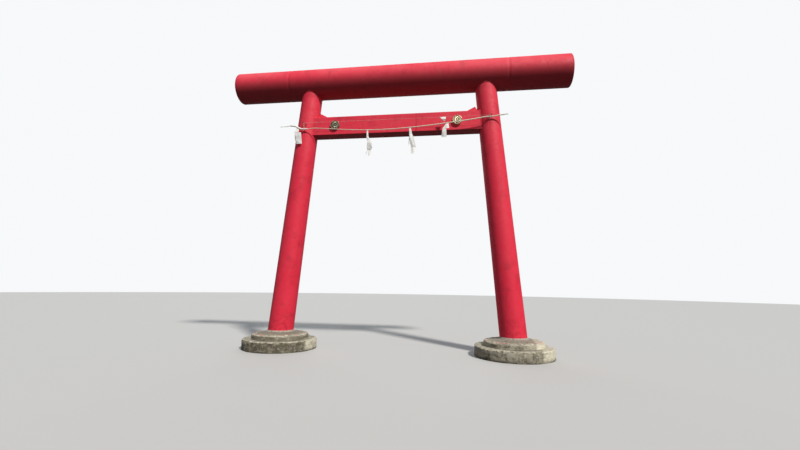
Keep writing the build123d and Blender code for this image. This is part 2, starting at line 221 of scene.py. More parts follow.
class Graph:
    """A material's node tree, with short calls for the nodes that the finishes share."""

    def __init__(self, name: str) -> None:
        """Start an empty material.

        Args:
            name: The material's name.
        """
        self.material = bpy.data.materials.new(name)
        self.material.use_nodes = True
        self.tree = self.material.node_tree
        self.tree.nodes.clear()
        self.shader = self.add("BsdfPrincipled")
        self.join(self.shader.outputs["BSDF"], self.add("OutputMaterial").inputs["Surface"])

    def add(self, kind: str, **settings: object) -> bpy.types.Node:
        """Add a node.

        Args:
            kind: The node's type without its ShaderNode prefix.
            **settings: Properties to set on it.

        Returns:
            The new node.
        """
        node = self.tree.nodes.new("ShaderNode" + kind)
        for name, value in settings.items():
            setattr(node, name, value)
        return node

    def join(self, source: Socket, target: Socket) -> None:
        """Link one socket to another."""
        self.tree.links.new(source, target)

    def feed(self, socket: Socket, value: Mask | Colour) -> None:
        """Link a socket to another's output or to a mask of spots, or set it to a constant.

        Args:
            socket: The input.
            value: What it gets.
        """
        value = self.spots(value) if isinstance(value, Spots) else value
        if isinstance(value, Socket):
            self.join(value, socket)
        else:
            socket.default_value = (*value, 1.0) if isinstance(value, tuple) else value

    def place(self, scale: Place = (1, 1, 1), offset: Place = (0, 0, 0), strand: bool = False) -> Socket:
        """Coordinates through a mapping.

        Args:
            scale: How much each axis is multiplied.
            offset: How far the pattern is moved.
            strand: Whether to follow a strand's UV map instead of the object's axes.

        Returns:
            The mapped vector's socket.
        """
        source = self.add("UVMap", uv_map=STRAND_MAP) if strand else self.add("TexCoord")
        mapping = self.add("Mapping")
        mapping.inputs["Scale"].default_value = scale
        mapping.inputs["Location"].default_value = offset
        self.join(source.outputs["UV" if strand else "Object"], mapping.inputs["Vector"])
        return mapping.outputs["Vector"]

    def noise(self, scale: float, detail: float = 4, rough: float = 0.55, vector: Socket | None = None,
              warp: float = 0) -> Socket:
        """A noise pattern's value.

        Args:
            scale: Cells a metre.
            detail: Octaves.
            rough: How strong the fine octaves are.
            vector: The coordinates, or None for plain object coordinates.
            warp: How much the pattern distorts itself.

        Returns:
            The value's socket.
        """
        node = self.add("TexNoise")
        node.inputs["Scale"].default_value = scale
        node.inputs["Detail"].default_value = detail
        node.inputs["Roughness"].default_value = rough
        node.inputs["Distortion"].default_value = warp
        self.join(vector or self.place(), node.inputs["Vector"])
        return node.outputs["Fac"]

    def cells(self, scale: float, vector: Socket | None = None) -> Socket:
        """A cell pattern's distance value.

        Args:
            scale: Cells a metre.
            vector: The coordinates, or None for plain object coordinates.

        Returns:
            The distance's socket.
        """
        node = self.add("TexVoronoi")
        node.inputs["Scale"].default_value = scale
        self.join(vector or self.place(), node.inputs["Vector"])
        return node.outputs["Distance"]

    def remap(self, value: Socket, low: float, high: float, to_low: float = 0, to_high: float = 1) -> Socket:
        """Stretch a value between two limits, smoothly, and clamp it.

        Args:
            value: The socket to read.
            low: The value that becomes to_low.
            high: The value that becomes to_high.
            to_low: The first result.
            to_high: The last result.

        Returns:
            The result's socket.
        """
        node = self.add("MapRange", interpolation_type="SMOOTHSTEP")
        for name, number in (("From Min", low), ("From Max", high), ("To Min", to_low), ("To Max", to_high)):
            node.inputs[name].default_value = number
        self.join(value, node.inputs["Value"])
        return node.outputs["Result"]

    def maths(self, operation: str, first: Mask, second: Mask | None = None) -> Socket:
        """One arithmetic step.

        Args:
            operation: The Math node's operation.
            first: The first value.
            second: The second value, where the step has one.

        Returns:
            The result's socket.
        """
        node = self.add("Math", operation=operation)
        self.feed(node.inputs[0], first)
        if second is not None:
            self.feed(node.inputs[1], second)
        return node.outputs["Value"]

    def times(self, *values: Mask) -> Mask:
        """The product of one or more values."""
        return reduce(lambda product, value: self.maths("MULTIPLY", product, value), values)

    def most(self, first: Mask, second: Mask) -> Socket:
        """The larger of two values."""
        return self.maths("MAXIMUM", first, second)

    def distance(self, value: Socket, middle: float) -> Socket:
        """How far a value is from a middle, to either side."""
        return self.maths("ABSOLUTE", self.maths("SUBTRACT", value, middle))

    def spots(self, spots: Spots) -> Socket:
        """A noise pattern as a mask.

        Args:
            spots: The pattern and its limits.

        Returns:
            The mask's socket.
        """
        vector = self.place(spots.stretch, spots.offset)
        pattern = self.noise(spots.scale, spots.detail, spots.rough, vector, spots.warp)
        return self.remap(pattern, *spots.limits, spots.least)

    def blend(self, factor: Mask, first: Socket | Colour, second: Socket | Colour) -> Socket:
        """Mix two colours.

        Args:
            factor: How much of the second shows.
            first: The first colour or socket.
            second: The second colour or socket.

        Returns:
            The mixed colour's socket.
        """
        node = self.add("Mix", data_type="RGBA", clamp_factor=True)
        self.feed(node.inputs["Factor"], factor)
        self.feed(node.inputs[6], first)
        self.feed(node.inputs[7], second)
        return node.outputs[2]

    def wash(self, under: Socket | Colour, over: Colour, *masks: Mask) -> Socket:
        """Lay a colour over another, as strongly as the product of some masks and shares says."""
        return self.blend(self.times(*masks), under, over)

    def upward(self) -> Socket:
        """The height part of the surface's direction, from -1 under to 1 on top.

        Returns:
            The value's socket.
        """
        parts = self.add("SeparateXYZ")
        self.join(self.add("NewGeometry").outputs["Normal"], parts.inputs["Vector"])
        return parts.outputs["Z"]

    def along(self, axis: str) -> Socket:
        """How far along one of the gate's axes the surface lies, in metres.

        Args:
            axis: X, Y or Z.

        Returns:
            The distance's socket.
        """
        parts = self.add("SeparateXYZ")
        self.join(self.add("TexCoord").outputs["Object"], parts.inputs["Vector"])
        return parts.outputs[axis]

    def bump(self, layers: Sequence[tuple[Socket, float, float]]) -> None:
        """Stack bumps onto the shader's normal.

        Args:
            layers: The value, strength and depth in metres of each bump.
        """
        before = None
        for value, strength, depth in layers:
            node = self.add("Bump")
            node.inputs["Strength"].default_value = strength
            node.inputs["Distance"].default_value = depth
            self.join(value, node.inputs["Height"])
            if before is not None:
                self.join(before, node.inputs["Normal"])
            before = node.outputs["Normal"]
        self.join(before, self.shader.inputs["Normal"])

    def finish(self, colour: Socket, roughness: Mask, metallic: float = 0, specular: float = 0.5) -> Material:
        """Set the shader's main sockets.

        Args:
            colour: The base colour's socket.
            roughness: The roughness or its socket.
            metallic: How metallic the surface is.
            specular: The specular level.

        Returns:
            The finished material.
        """
        self.feed(self.shader.inputs["Base Color"], colour)
        self.feed(self.shader.inputs["Roughness"], roughness)
        self.feed(self.shader.inputs["Metallic"], metallic)
        self.shader.inputs["Specular IOR Level"].default_value = specular
        return self.material


@dataclass(frozen=True)
class VermilionPaint:
    """Sun-faded vermilion paint over rolled steel: rain dirt, dark seams, foot rust, painted sheen on top,
    painted shade beneath.

    A pair of limits says where a mask is 0 and where it is full, in metres.
    """

    fresh: Colour = (0.72, 0.017, 0.050)
    # Also used as a painted sheen on the lit upper faces.
    faded_and_sheen: Colour = (0.80, 0.086, 0.116)
    # Also used as painted shade under the rail and the nuki.
    grime_and_shade: Colour = (0.17, 0.010, 0.014)
    rust: Colour = (0.085, 0.028, 0.016)
    primer: Colour = (0.30, 0.105, 0.080)
    cap_seam: float = 4.162
    cap_seam_width: float = 0.006
    cap_rim: Limits = (4.172, 4.186)
    nuki_seam_width: float = 0.009
    nuki_end: Limits = (2.040, 2.000)
    corner_rise: Limits = (0.222, 0.232)
    corner_depth: Limits = (0.152, 0.162)
    above_nuki: Limits = (0.25, 0.24)
    hook_height: float = 5.456
    streak_width: Limits = (0.013, 0.003)
    streak_face: Limits = (-0.05, -0.15)
    streak_drop: Limits = (-0.55, -0.02)
    streak_start: Limits = (0.012, 0.002)
    nuki_level: Limits = (5.0, 5.1)
    below_rail: Limits = (6.05, 5.95)
    rail_level: Limits = (6.1, 6.3)
    foot_level: Limits = (1.10, 0.42)
    clouds: Spots = Spots(0.9, 5, 0.6, (0.30, 0.66), 0.25)
    mottle: Spots = Spots(6.5, 7, 0.66, (0.40, 0.70))
    shade: Spots = Spots(3.1, 6, 0.62, (0.50, 0.72), offset=(5, 2, 9))
    rain_runs: Spots = Spots(9.0, 5, 0.62, (0.58, 0.80), stretch=(1.0, 1.0, 0.07))
    seam_breaks: Spots = Spots(24, 4, 0.6, (0.36, 0.56), 0.35)
    speck_fields: Spots = Spots(2.3, 3, 0.55, (0.50, 0.60))
    blisters: Spots = Spots(30, 7, 0.70, (0.58, 0.66))
    halo: Spots = Spots(11, 6, 0.65, (0.46, 0.68))
    edge_chips: Spots = Spots(17, 8, 0.70, (0.50, 0.58), offset=(6, 1, 4))

    def seam(self, graph: Graph, offset: float, half_width: float, mirrored: bool) -> Socket:
        """A thin dirty line across the gate's long axis.

        Args:
            graph: The material's nodes.
            offset: Where the line lies on X.
            half_width: Half the line's width.
            mirrored: Whether it also lies at the other side.

        Returns:
            The line's strength, from 0 to 1.
        """
        across = graph.along("X")
        if mirrored:
            across = graph.maths("ABSOLUTE", across)
        return graph.remap(graph.distance(across, offset), half_width, half_width * 0.4)

    def worn_edges(self, graph: Graph) -> Socket:
        """Where the corners of the nuki and the rims of the rail's ends have lost their top coat.

        Args:
            graph: The material's nodes.

        Returns:
            The mask.
        """
        out = graph.maths("ABSOLUTE", graph.along("X"))
        deep = graph.maths("ABSOLUTE", graph.along("Y"))
        off_middle = graph.distance(graph.along("Z"), LINES.nuki_middle)
        beam = graph.times(graph.remap(off_middle, *self.corner_rise), graph.remap(deep, *self.corner_depth),
                           graph.remap(out, *self.nuki_end), graph.remap(off_middle, *self.above_nuki))
        rim = graph.times(graph.remap(out, *self.cap_rim), graph.remap(graph.upward(), -0.9, 0.2, 0.0, 0.6))
        return graph.times(graph.most(beam, rim), self.edge_chips)

    def hook_runs(self, graph: Graph) -> Socket:
        """The rust that rain has carried down the posts from the two hooks.

        Args:
            graph: The material's nodes.

        Returns:
            The mask.
        """
        across = graph.maths("SUBTRACT", graph.maths("ABSOLUTE", graph.along("X")), HOOK_OFFSET)
        waver = graph.times(graph.maths("SUBTRACT", graph.noise(5.0, 3), 0.5), 0.030)
        away = graph.maths("ABSOLUTE", graph.maths("ADD", across, waver))
        rise = graph.maths("SUBTRACT", graph.along("Z"), self.hook_height)
        depth = graph.along("Y")
        return graph.times(graph.remap(away, *self.streak_width), graph.remap(depth, *self.streak_face),
                           graph.remap(rise, *self.streak_drop), graph.remap(rise, *self.streak_start))

    def material(self) -> Material:
        """Build the paint.

        Returns:
            The material.
        """
        graph = Graph("vermilion_paint")
        height, upward = graph.along("Z"), graph.upward()
        # Painted sheen: upper faces turn to the faded colour, partly as sun bleaching and partly as a painted
        # sky sheen.
        bleach_and_sheen_side = graph.remap(upward, -0.05, 0.65, 0.25, 1.0)
        aloft = graph.remap(height, 4.4, 5.4, 0.45, 1.0)
        colour = graph.wash(self.fresh, self.faded_and_sheen, self.clouds, bleach_and_sheen_side, aloft)
        colour = graph.wash(colour, self.faded_and_sheen, self.mottle, aloft, 0.30)
        colour = graph.wash(colour, self.grime_and_shade, self.shade, 0.28)
        colour = graph.wash(colour, self.grime_and_shade, self.rain_runs, 0.30)
        # Painted shade: the undersides of the rail and the nuki are darkened with the grime colour.
        painted_shade_under_rail = graph.times(graph.remap(upward, 0.28, -0.60), graph.remap(height, *self.rail_level))
        painted_shade_under_nuki = graph.times(graph.remap(upward, -0.4, -0.9), graph.remap(height, *self.nuki_level))
        colour = graph.wash(colour, self.grime_and_shade, graph.most(painted_shade_under_rail, painted_shade_under_nuki), 0.80)
        nuki_line = graph.times(self.seam(graph, LINES.nuki_seam, self.nuki_seam_width, False),
                                graph.remap(height, *self.below_rail))
        seams = graph.most(self.seam(graph, self.cap_seam, self.cap_seam_width, True), nuki_line)
        colour = graph.wash(colour, self.rust, seams, self.seam_breaks, 0.65)
        specks = graph.remap(graph.cells(15.0, graph.place((0.8, 1.0, 1.0))), 0.085, 0.045)
        foot = graph.remap(height, *self.foot_level)
        worn = graph.most(graph.times(specks, self.speck_fields), graph.times(foot, self.blisters))
        colour = graph.wash(colour, self.grime_and_shade, foot, self.halo, 0.45)
        colour = graph.wash(colour, self.rust, worn, 0.85)
        edges = self.worn_edges(graph)
        colour = graph.wash(colour, self.primer, edges, 0.70)
        colour = graph.wash(colour, self.rust, self.hook_runs(graph), 0.60)
        wavy = graph.noise(2.2, 2, 0.5)
        brushed = graph.noise(42, 4, 0.6, graph.place((1.0, 1.0, 0.16)))
        peel = graph.noise(150, 3, 0.55)
        graph.bump([(wavy, 0.30, 0.010), (brushed, 0.10, 0.0025), (peel, 0.10, 0.0012), (worn, 0.35, -0.0015),
                    (edges, 0.30, -0.0010)])
        rough = graph.remap(graph.noise(12, 6, 0.62), 0.28, 0.74, 0.50, 0.72)
        return graph.finish(colour, graph.most(rough, graph.times(worn, 0.9)), specular=0.32)


@dataclass(frozen=True)
class WeatheredStone:
    """Cream-grey cut stone: beds, olive-brown stains, lichen, old paint spots, painted shade and a painted
    sunlit end.
    """

    pale: Colour = (0.47, 0.42, 0.30)
    cool: Colour = (0.33, 0.32, 0.27)
    # Laid on flat tops as painted shade.
    painted_top_shade: Colour = (0.172, 0.163, 0.128)
    pale_grain: Colour = (0.60, 0.56, 0.46)
    dark_grain: Colour = (0.12, 0.10, 0.08)
    # Also used as painted shadow on the left stones' sides.
    stain_and_shadow: Colour = (0.066, 0.050, 0.029)
    moss: Colour = (0.115, 0.120, 0.060)
    crack: Colour = (0.055, 0.045, 0.030)
    # Pale colour of worn arrises, also used as painted sunlight on the stone's lit end.
    worn_and_sunlit_pale: Colour = (0.77, 0.715, 0.56)
    lichen: Colour = (0.58, 0.59, 0.52)
    splash: Colour = (0.42, 0.13, 0.11)
    damp_level: Limits = (0.085, 0.004)
    lip_foot: Limits = (-0.036, -0.010)
    lip_top: Limits = (0.007, 0.001)
    line_foot: Limits = (0.336, 0.346)
    line_top: Limits = (0.360, 0.352)
    drip_level: Limits = (0.315, 0.345)
    dark_grains: Spots = Spots(260, 3, 0.7, (0.56, 0.66))
    patches: Spots = Spots(2.6, 8, 0.70, (0.44, 0.56), warp=0.8)
    runs: Spots = Spots(9.0, 7, 0.68, (0.40, 0.62), 0.35, stretch=(1, 1, 0.35))
    crust: Spots = Spots(7.0, 9, 0.72, (0.36, 0.56), 0.35, offset=(1, 6, 3), warp=0.6)
    mossy: Spots = Spots(6.2, 7, 0.72, (0.54, 0.68), warp=0.8)
    lip_chips: Spots = Spots(13, 6, 0.64, (0.40, 0.58))
    lichens: Spots = Spots(17, 5, 0.6, (0.62, 0.67), offset=(2, 8, 3), warp=0.4)
    line_breaks: Spots = Spots(5.5, 5, 0.6, (0.46, 0.58), offset=(3, 3, 0))
    drips: Spots = Spots(19, 5, 0.6, (0.67, 0.73), stretch=(1, 1, 0.5), offset=(7, 3, 1))
    pits: Spots = Spots(34, 6, 0.72, (0.32, 0.52))

    def material(self, name: str, top: float, soiled_and_shaded: float, sunlit_from: float) -> Material:
        """Build the stone.

        Args:
            name: The material's name.
            top: The height of the stone's top arris, where it is paler.
            soiled_and_shaded: How far dirt and painted shadow cover its sides, from 0 to 1.
            sunlit_from: Where along the gate its lit end starts, which is washed pale as painted sunlight.

        Returns:
            The material.
        """
        graph = Graph(name)
        height, upward = graph.along("Z"), graph.upward()
        bed = graph.noise(5.0, 9, 0.64, graph.place((1.0, 1.0, 3.2)), warp=0.5)
        colour = graph.blend(graph.remap(bed, 0.34, 0.66), self.pale, self.cool)
        # Painted shade: the flat tops are darkened because the key light falls on them more strongly.
        colour = graph.wash(colour, self.painted_top_shade, graph.remap(upward, 0.55, 0.95), 0.85)
        colour = graph.wash(colour, self.pale_grain, graph.remap(graph.cells(190), 0.10, 0.45), 0.28)
        colour = graph.wash(colour, self.dark_grain, self.dark_grains, 0.40)
        side = graph.remap(upward, 0.75, 0.25, 0.42, 1.0)
        # Painted sunlight: the end past sunlit_from is washed pale and kept free of dirt, as the lit end of
        # the stone.
        painted_sunlit_end = graph.remap(graph.along("X"), sunlit_from - 0.05, sunlit_from + 0.03)
        colour = graph.wash(colour, self.worn_and_sunlit_pale, painted_sunlit_end, side, 0.96)
        # The dirt on the sides, scaled by soiled, also stands as painted shadow on the left stones.
        stain_and_shadow = graph.most(graph.times(self.patches, self.runs, side),
                           graph.times(self.crust, side, soiled_and_shaded))
        stain_and_shadow = graph.times(stain_and_shadow, graph.remap(painted_sunlit_end, 0, 1, 1.0, 0.10))
        damp = graph.times(graph.remap(height, *self.damp_level), graph.remap(bed, 0.38, 0.58, 0.35, 1.0))
        colour = graph.wash(colour, self.stain_and_shadow, graph.most(stain_and_shadow, damp), 0.88)
        colour = graph.wash(colour, self.moss, self.mossy, 0.60)
        cracks = graph.noise(8.0, 9, 0.60, graph.place((1.0, 1.0, 2.6), (4, 1, 2)), warp=1.6)
        veins = graph.times(graph.remap(cracks, 0.485, 0.500), graph.remap(cracks, 0.515, 0.500))
        colour = graph.wash(colour, self.crack, veins, 0.75)
        rise = graph.maths("SUBTRACT", height, top)
        lip = graph.times(graph.remap(rise, *self.lip_foot), graph.remap(rise, *self.lip_top),
                          graph.remap(upward, 0.93, 0.99, 1.0, 0.45))
        colour = graph.wash(colour, self.worn_and_sunlit_pale, lip, self.lip_chips, 0.72)
        colour = graph.wash(colour, self.lichen, self.lichens, 0.55)
        line = graph.times(graph.remap(height, *self.line_foot), graph.remap(height, *self.line_top))
        colour = graph.wash(colour, self.splash, line, self.line_breaks, 0.55)
        near_post = graph.remap(height, *self.drip_level)
        colour = graph.wash(colour, self.splash, self.drips, near_post, 0.60)
        grain = graph.noise(170, 4, 0.65)
        graph.bump([(bed, 0.75, 0.012), (graph.spots(self.pits), 0.70, 0.005), (grain, 0.50, 0.0018),
                    (veins, 0.6, -0.006)])
        return graph.finish(colour, graph.remap(bed, 0.3, 0.7, 0.84, 0.96), specular=0.25)


@dataclass(frozen=True)
class CementMortar:
    """Rough grey mortar, splashed with a little old paint."""

    body: Colour = (0.40, 0.36, 0.31)
    dark: Colour = (0.25, 0.22, 0.18)
    splash: Colour = (0.42, 0.10, 0.09)

    def material(self) -> Material:
        """Build the mortar.

        Returns:
            The material.
        """
        graph = Graph("cement_mortar")
        mottle = graph.noise(22, 6, 0.65)
        colour = graph.blend(graph.remap(mottle, 0.35, 0.65), self.body, self.dark)
        colour = graph.blend(graph.remap(graph.noise(9, 4), 0.60, 0.68), colour, self.splash)
        graph.bump([(mottle, 0.5, 0.004), (graph.noise(160, 3), 0.4, 0.0015)])
        return graph.finish(colour, 0.92, specular=0.25)


@dataclass(frozen=True)
class PatinaBronze:
    """Old gilt bronze: grey-green patina, with pale gold left on the high places."""

    patina: Colour = (0.245, 0.240, 0.165)
    deep: Colour = (0.105, 0.100, 0.070)
    gilt: Colour = (0.74, 0.62, 0.42)
    bare: Limits = (0.62, 0.72)
    most_gilding: float = 0.3

    def material(self, name: str, gilding_and_light: float) -> Material:
        """Build the bronze.

        Args:
            name: The material's name.
            gilding_and_light: How much gold shows, from 0 to 1, partly as gilding and partly as painted
                sunlight.

        Returns:
            The material.
        """
        graph = Graph(name)
        colour = graph.blend(graph.remap(graph.noise(34, 6, 0.65), 0.35, 0.62), self.deep, self.patina)
        low, high = (limit - self.most_gilding * gilding_and_light for limit in self.bare)
        left = graph.spots(Spots(26, 5, 0.6, (low, high), offset=(3, 1, 7)))
        colour = graph.blend(left, colour, self.gilt)
        graph.bump([(graph.noise(90, 4, 0.6), 0.3, 0.0012)])
        return graph.finish(colour, graph.remap(left, 0, 1, 0.62, 0.38), metallic=0.55)


@dataclass(frozen=True)
class RustedRod:
    """Dark rod steel under a bloom of brown rust."""

    scale: Colour = (0.030, 0.024, 0.022)
    rust: Colour = (0.155, 0.060, 0.030)

    def material(self) -> Material:
        """Build the rod's finish.

        Returns:
            The material.
        """
        graph = Graph("rusted_rod")
        bloom = graph.remap(graph.noise(60, 6, 0.65), 0.45, 0.66)
        colour = graph.blend(bloom, self.scale, self.rust)
        graph.bump([(graph.noise(260, 4, 0.6), 0.4, 0.0008)])
        return graph.finish(colour, graph.remap(bloom, 0, 1, 0.55, 0.88), metallic=0.3)


@dataclass(frozen=True)
class DryStraw:
    """Twisted rice straw, bleached, with fine fibres along each strand."""

    pale: Colour = (0.86, 0.81, 0.69)
    shade: Colour = (0.62, 0.53, 0.38)
    bleached: Colour = (0.80, 0.77, 0.69)

    def material(self) -> Material:
        """Build the straw, whose fibres follow the strand's UV map.

        Returns:
            The material.
        """
        graph = Graph("dry_straw")
        fibres = graph.noise(3.0, 5, 0.7, graph.place((26, 1.6, 1), strand=True))
        colour = graph.blend(graph.remap(fibres, 0.34, 0.66), self.shade, self.pale)
        colour = graph.wash(colour, self.bleached, graph.remap(graph.noise(7, 4), 0.35, 0.7), 0.4)
        graph.bump([(fibres, 0.8, 0.0015)])
        return graph.finish(colour, 0.88, specular=0.25)


@dataclass(frozen=True)
class WhitePaper:
    """Stiff white washi, faintly mottled by rain."""

    clean: Colour = (0.84, 0.84, 0.825)
    tired: Colour = (0.70, 0.68, 0.63)

    def material(self) -> Material:
        """Build the paper.

        Returns:
            The material.
        """
        graph = Graph("white_washi")
        mottle = graph.noise(14, 6, 0.6)
        colour = graph.blend(graph.remap(mottle, 0.48, 0.72), self.clean, self.tired)
        fibre = graph.noise(120, 4, 0.7, graph.place((1, 1, 0.35)), warp=1.0)
        graph.bump([(mottle, 0.35, 0.004), (fibre, 0.2, 0.0006)])
        return graph.finish(colour, 0.82, specular=0.3)


@dataclass(frozen=True)
class RopeWrap:
    """Old white paper wound on the rope's end, grey in its laps, and the bare straw that it leaves."""

    clean: Colour = (0.85, 0.84, 0.81)
    laps: Colour = (0.63, 0.60, 0.54)
    straw: Colour = (0.74, 0.67, 0.53)

    def material(self) -> Material:
        """Build the wrap, whose laps follow its UV map.

        Returns:
            The material.
        """
        graph = Graph("rope_wrap")
        threads = graph.noise(3.0, 5, 0.65, graph.place((2.0, 60.0, 1), strand=True))
        mottle = graph.noise(22, 6, 0.62)
        colour = graph.blend(graph.remap(mottle, 0.44, 0.70), self.clean, self.laps)
        colour = graph.wash(colour, self.laps, graph.remap(threads, 0.50, 0.70), 0.45)
        bare = graph.remap(graph.along("X"), WRAP_END + 0.004, WRAP_END - 0.004)
        colour = graph.blend(bare, colour, self.straw)
        graph.bump([(mottle, 0.4, 0.004), (threads, 0.5, 0.0012)])
        return graph.finish(colour, 0.85, specular=0.25)


@dataclass(frozen=True)
class PaleString:
    """Thin twisted cotton string, grey with weather."""

    body: Colour = (0.72, 0.68, 0.60)
    grooves: Colour = (0.40, 0.36, 0.30)

    def material(self) -> Material:
        """Build the string.

        Returns:
            The material.
        """
        graph = Graph("cotton_string")
        twist = graph.noise(120, 3, 0.6, graph.place((1.2, 4, 4)))
        colour = graph.blend(graph.remap(twist, 0.4, 0.6), self.body, self.grooves)
        graph.bump([(twist, 0.5, 0.0006)])
        return graph.finish(colour, 0.9, specular=0.2)


def between(first: float, second: float, share: float) -> float:
    """The value a share of the way from one number to another."""
    return first + (second - first) * share


def clamp(value: float) -> float:
    """A value kept between 0 and 1."""
    return min(1.0, max(0.0, value))


def circle(count: int) -> list[float]:
    """Even steps once round, in radians."""
    return [math.tau * step / count for step in range(count)]


def last_holding(low: float, high: float, holds: Callable[[float], bool]) -> float:
    """Find where a test stops holding, by halving.

    Args:
        low: A value at which it holds.
        high: A value at which it doesn't.
        holds: The test.

    Returns:
        The last value at which it holds.
    """
    for _ in range(30):
        middle = (low + high) / 2
        low, high = (middle, high) if holds(middle) else (low, middle)
    return low


def divided(outline: Outline, step: float) -> list[tuple[float, float]]:
    """Cut the sides of a closed outline into parts of about one length.

    Args:
        outline: The outline's corners.
        step: The length of a part.

    Returns:
        The corners and the points between them.
    """
    points = []
    for (x0, y0), (x1, y1) in zip(outline, [*outline[1:], outline[0]]):
        parts = max(1, round(math.hypot(x1 - x0, y1 - y0) / step))
        points += [(x0 + (x1 - x0) * part / parts, y0 + (y1 - y0) * part / parts) for part in range(parts)]
    return points


def pick(piece: Piece) -> None:
    """Select one piece alone and make it active.

    Args:
        piece: The piece.
    """
    bpy.ops.object.select_all(action="DESELECT")
    piece.select_set(True)
    bpy.context.view_layer.objects.active = piece


@contextmanager
def editing(piece: Piece, everything: bool = False) -> Iterator[bmesh.types.BMesh]:
    """Hold a piece in edit mode.

    Args:
        piece: The mesh to edit.
        everything: Whether all of it is selected, and not nothing.

    Yields:
        Its mesh, for picking faces and edges.
    """
    pick(piece)
    bpy.ops.object.mode_set(mode="EDIT")
    bpy.ops.mesh.select_all(action="SELECT" if everything else "DESELECT")
    yield bmesh.from_edit_mesh(piece.data)
    bpy.ops.object.mode_set(mode="OBJECT")


def start(name: str) -> Piece:
    """Name the primitive that was just added and set its place into its mesh.

    Args:
        name: The piece's name.

    Returns:
        The piece.
    """
    piece = bpy.context.object
    piece.name = name
    piece.data.name = name
    bpy.ops.object.transform_apply(location=True, rotation=True, scale=True)
    return piece


def show(name: str, data: bpy.types.ID) -> Piece:
    """Make an object for new data and put it into the scene.

    Args:
        name: The object's name.
        data: Its mesh, curve, lamp or camera.

    Returns:
        The object.
    """
    holder = bpy.data.objects.new(name, data)
    bpy.context.scene.collection.objects.link(holder)
    return holder


def skin(name: str, points: Sequence[Vector], faces: Sequence[Sequence[int]],
         places: Sequence[Sequence[float]]) -> Piece:
    """Make a mesh piece with a UV map for fibres.

    Args:
        name: The piece's name.
        points: Its vertices.
        faces: Its faces, as vertex numbers.
        places: The UV place of each face corner, in the faces' order.

    Returns:
        The piece.
    """
    mesh = bpy.data.meshes.new(name)
    mesh.from_pydata(points, [], faces)
    layer = mesh.uv_layers.new(name=STRAND_MAP)
    for loop, place in zip(layer.data, places):
        loop.uv = place
    return show(name, mesh)


def modify(piece: Piece, kind: str, **settings: object) -> None:
    """Add a modifier, set it and apply it.

    Args:
        piece: The mesh to change.
        kind: The modifier's type.
        **settings: Its properties.
    """
    pick(piece)
    bpy.ops.object.modifier_add(type=kind)
    modifier = piece.modifiers[-1]
    for name, value in settings.items():
        setattr(modifier, name, value)
    bpy.ops.object.modifier_apply(modifier=modifier.name)


def smooth(piece: Piece, degrees: float = 35) -> None:
    """Shade a piece smoothly, apart from edges sharper than an angle."""
    pick(piece)
    bpy.ops.object.shade_smooth_by_angle(angle=math.radians(degrees))


def join(pieces: Sequence[Piece], name: str) -> Piece:
    """Join several meshes into one piece.

    Args:
        pieces: The meshes.
        name: The joined piece's name.

    Returns:
        The joined piece.
    """
    pick(pieces[0])
    for piece in pieces[1:]:
        piece.select_set(True)
    if len(pieces) > 1:
        bpy.ops.object.join()
    joined = bpy.context.view_layer.objects.active
    joined.name = name
    joined.data.name = name
    return joined


def mount(piece: Piece, slot: Slot, finish: Material, *nodes: str) -> Piece:
    """Give a piece its finish, fix it to the gate, and let it stand for CAD nodes.

    Args:
        piece: The finished piece.
        slot: Not used.
        finish: The material.
        *nodes: The nodes that the piece replaces.

    Returns:
        The piece.
    """
    piece.data.materials.clear()
    piece.data.materials.append(finish)
    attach(piece, "root")
    if nodes:
        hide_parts(*nodes)
    LOG.info("%s: %d faces", piece.name, len(piece.data.polygons))
    return piece


def paint_node(node: str, finish: Material) -> None:
    """Give a CAD node's object a finish.

    Args:
        node: The node's name.
        finish: The material.
    """
    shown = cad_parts[node]
    shown.data.materials.clear()
    shown.data.materials.append(finish)


def tube(name: str, centres: Sequence[Vector], radii: Sequence[float], around: int = 8, closed: bool = False,
         twist: float = 0.0, squash: float = 1.0) -> Piece:
    """Skin a run of rings along a line, with a UV map that follows it.

    Args:
        name: The piece's name.
        centres: The line's points.
        radii: A radius for each point.
        around: Points in a ring.
        closed: Whether the last ring joins the first.
        twist: Turn of the rings along the line, in radians a metre.
        squash: Ring height over ring width.

    Returns:
        The tube as a mesh piece.
    """
    count = len(centres)
    tangents = []
    for index in range(count):
        before = centres[(index - 1) % count] if closed or index else centres[0]
        after = centres[(index + 1) % count] if closed or index < count - 1 else centres[-1]
        tangents.append((after - before).normalized())
    side = tangents[0].orthogonal().normalized()
    points, travels = [], [0.0]
    for index, (centre, tangent, radius) in enumerate(zip(centres, tangents, radii)):
        side = (side - tangent * side.dot(tangent)).normalized()
        up = tangent.cross(side)
        if index:
            travels.append(travels[-1] + (centre - centres[index - 1]).length)
        for step in range(around):
            angle = math.tau * step / around + twist * travels[-1]
            wide, high = radius * math.cos(angle), radius * squash * math.sin(angle)
            points.append(centre + side * wide + up * high)
    faces, uvs = [], []
    for ring in range(count if closed else count - 1):
        after = (ring + 1) % count
        low, high = travels[ring], travels[after] if after else travels[ring] + 0.01
        for step in range(around):
            beside = (step + 1) % around
            faces.append((ring * around + step, ring * around + beside, after * around + beside,
                          after * around + step))
            left, right = step / around, (step + 1) / around
            uvs += [(left, low), (right, low), (right, high), (left, high)]
    if not closed:
        faces.append(tuple(reversed(range(around))))
        faces.append(tuple(range((count - 1) * around, count * around)))
        uvs += [(0.5, 0.0)] * around + [(0.5, travels[-1])] * around
    piece = skin(name, points, faces, uvs)
    smooth(piece, 60)
    return piece


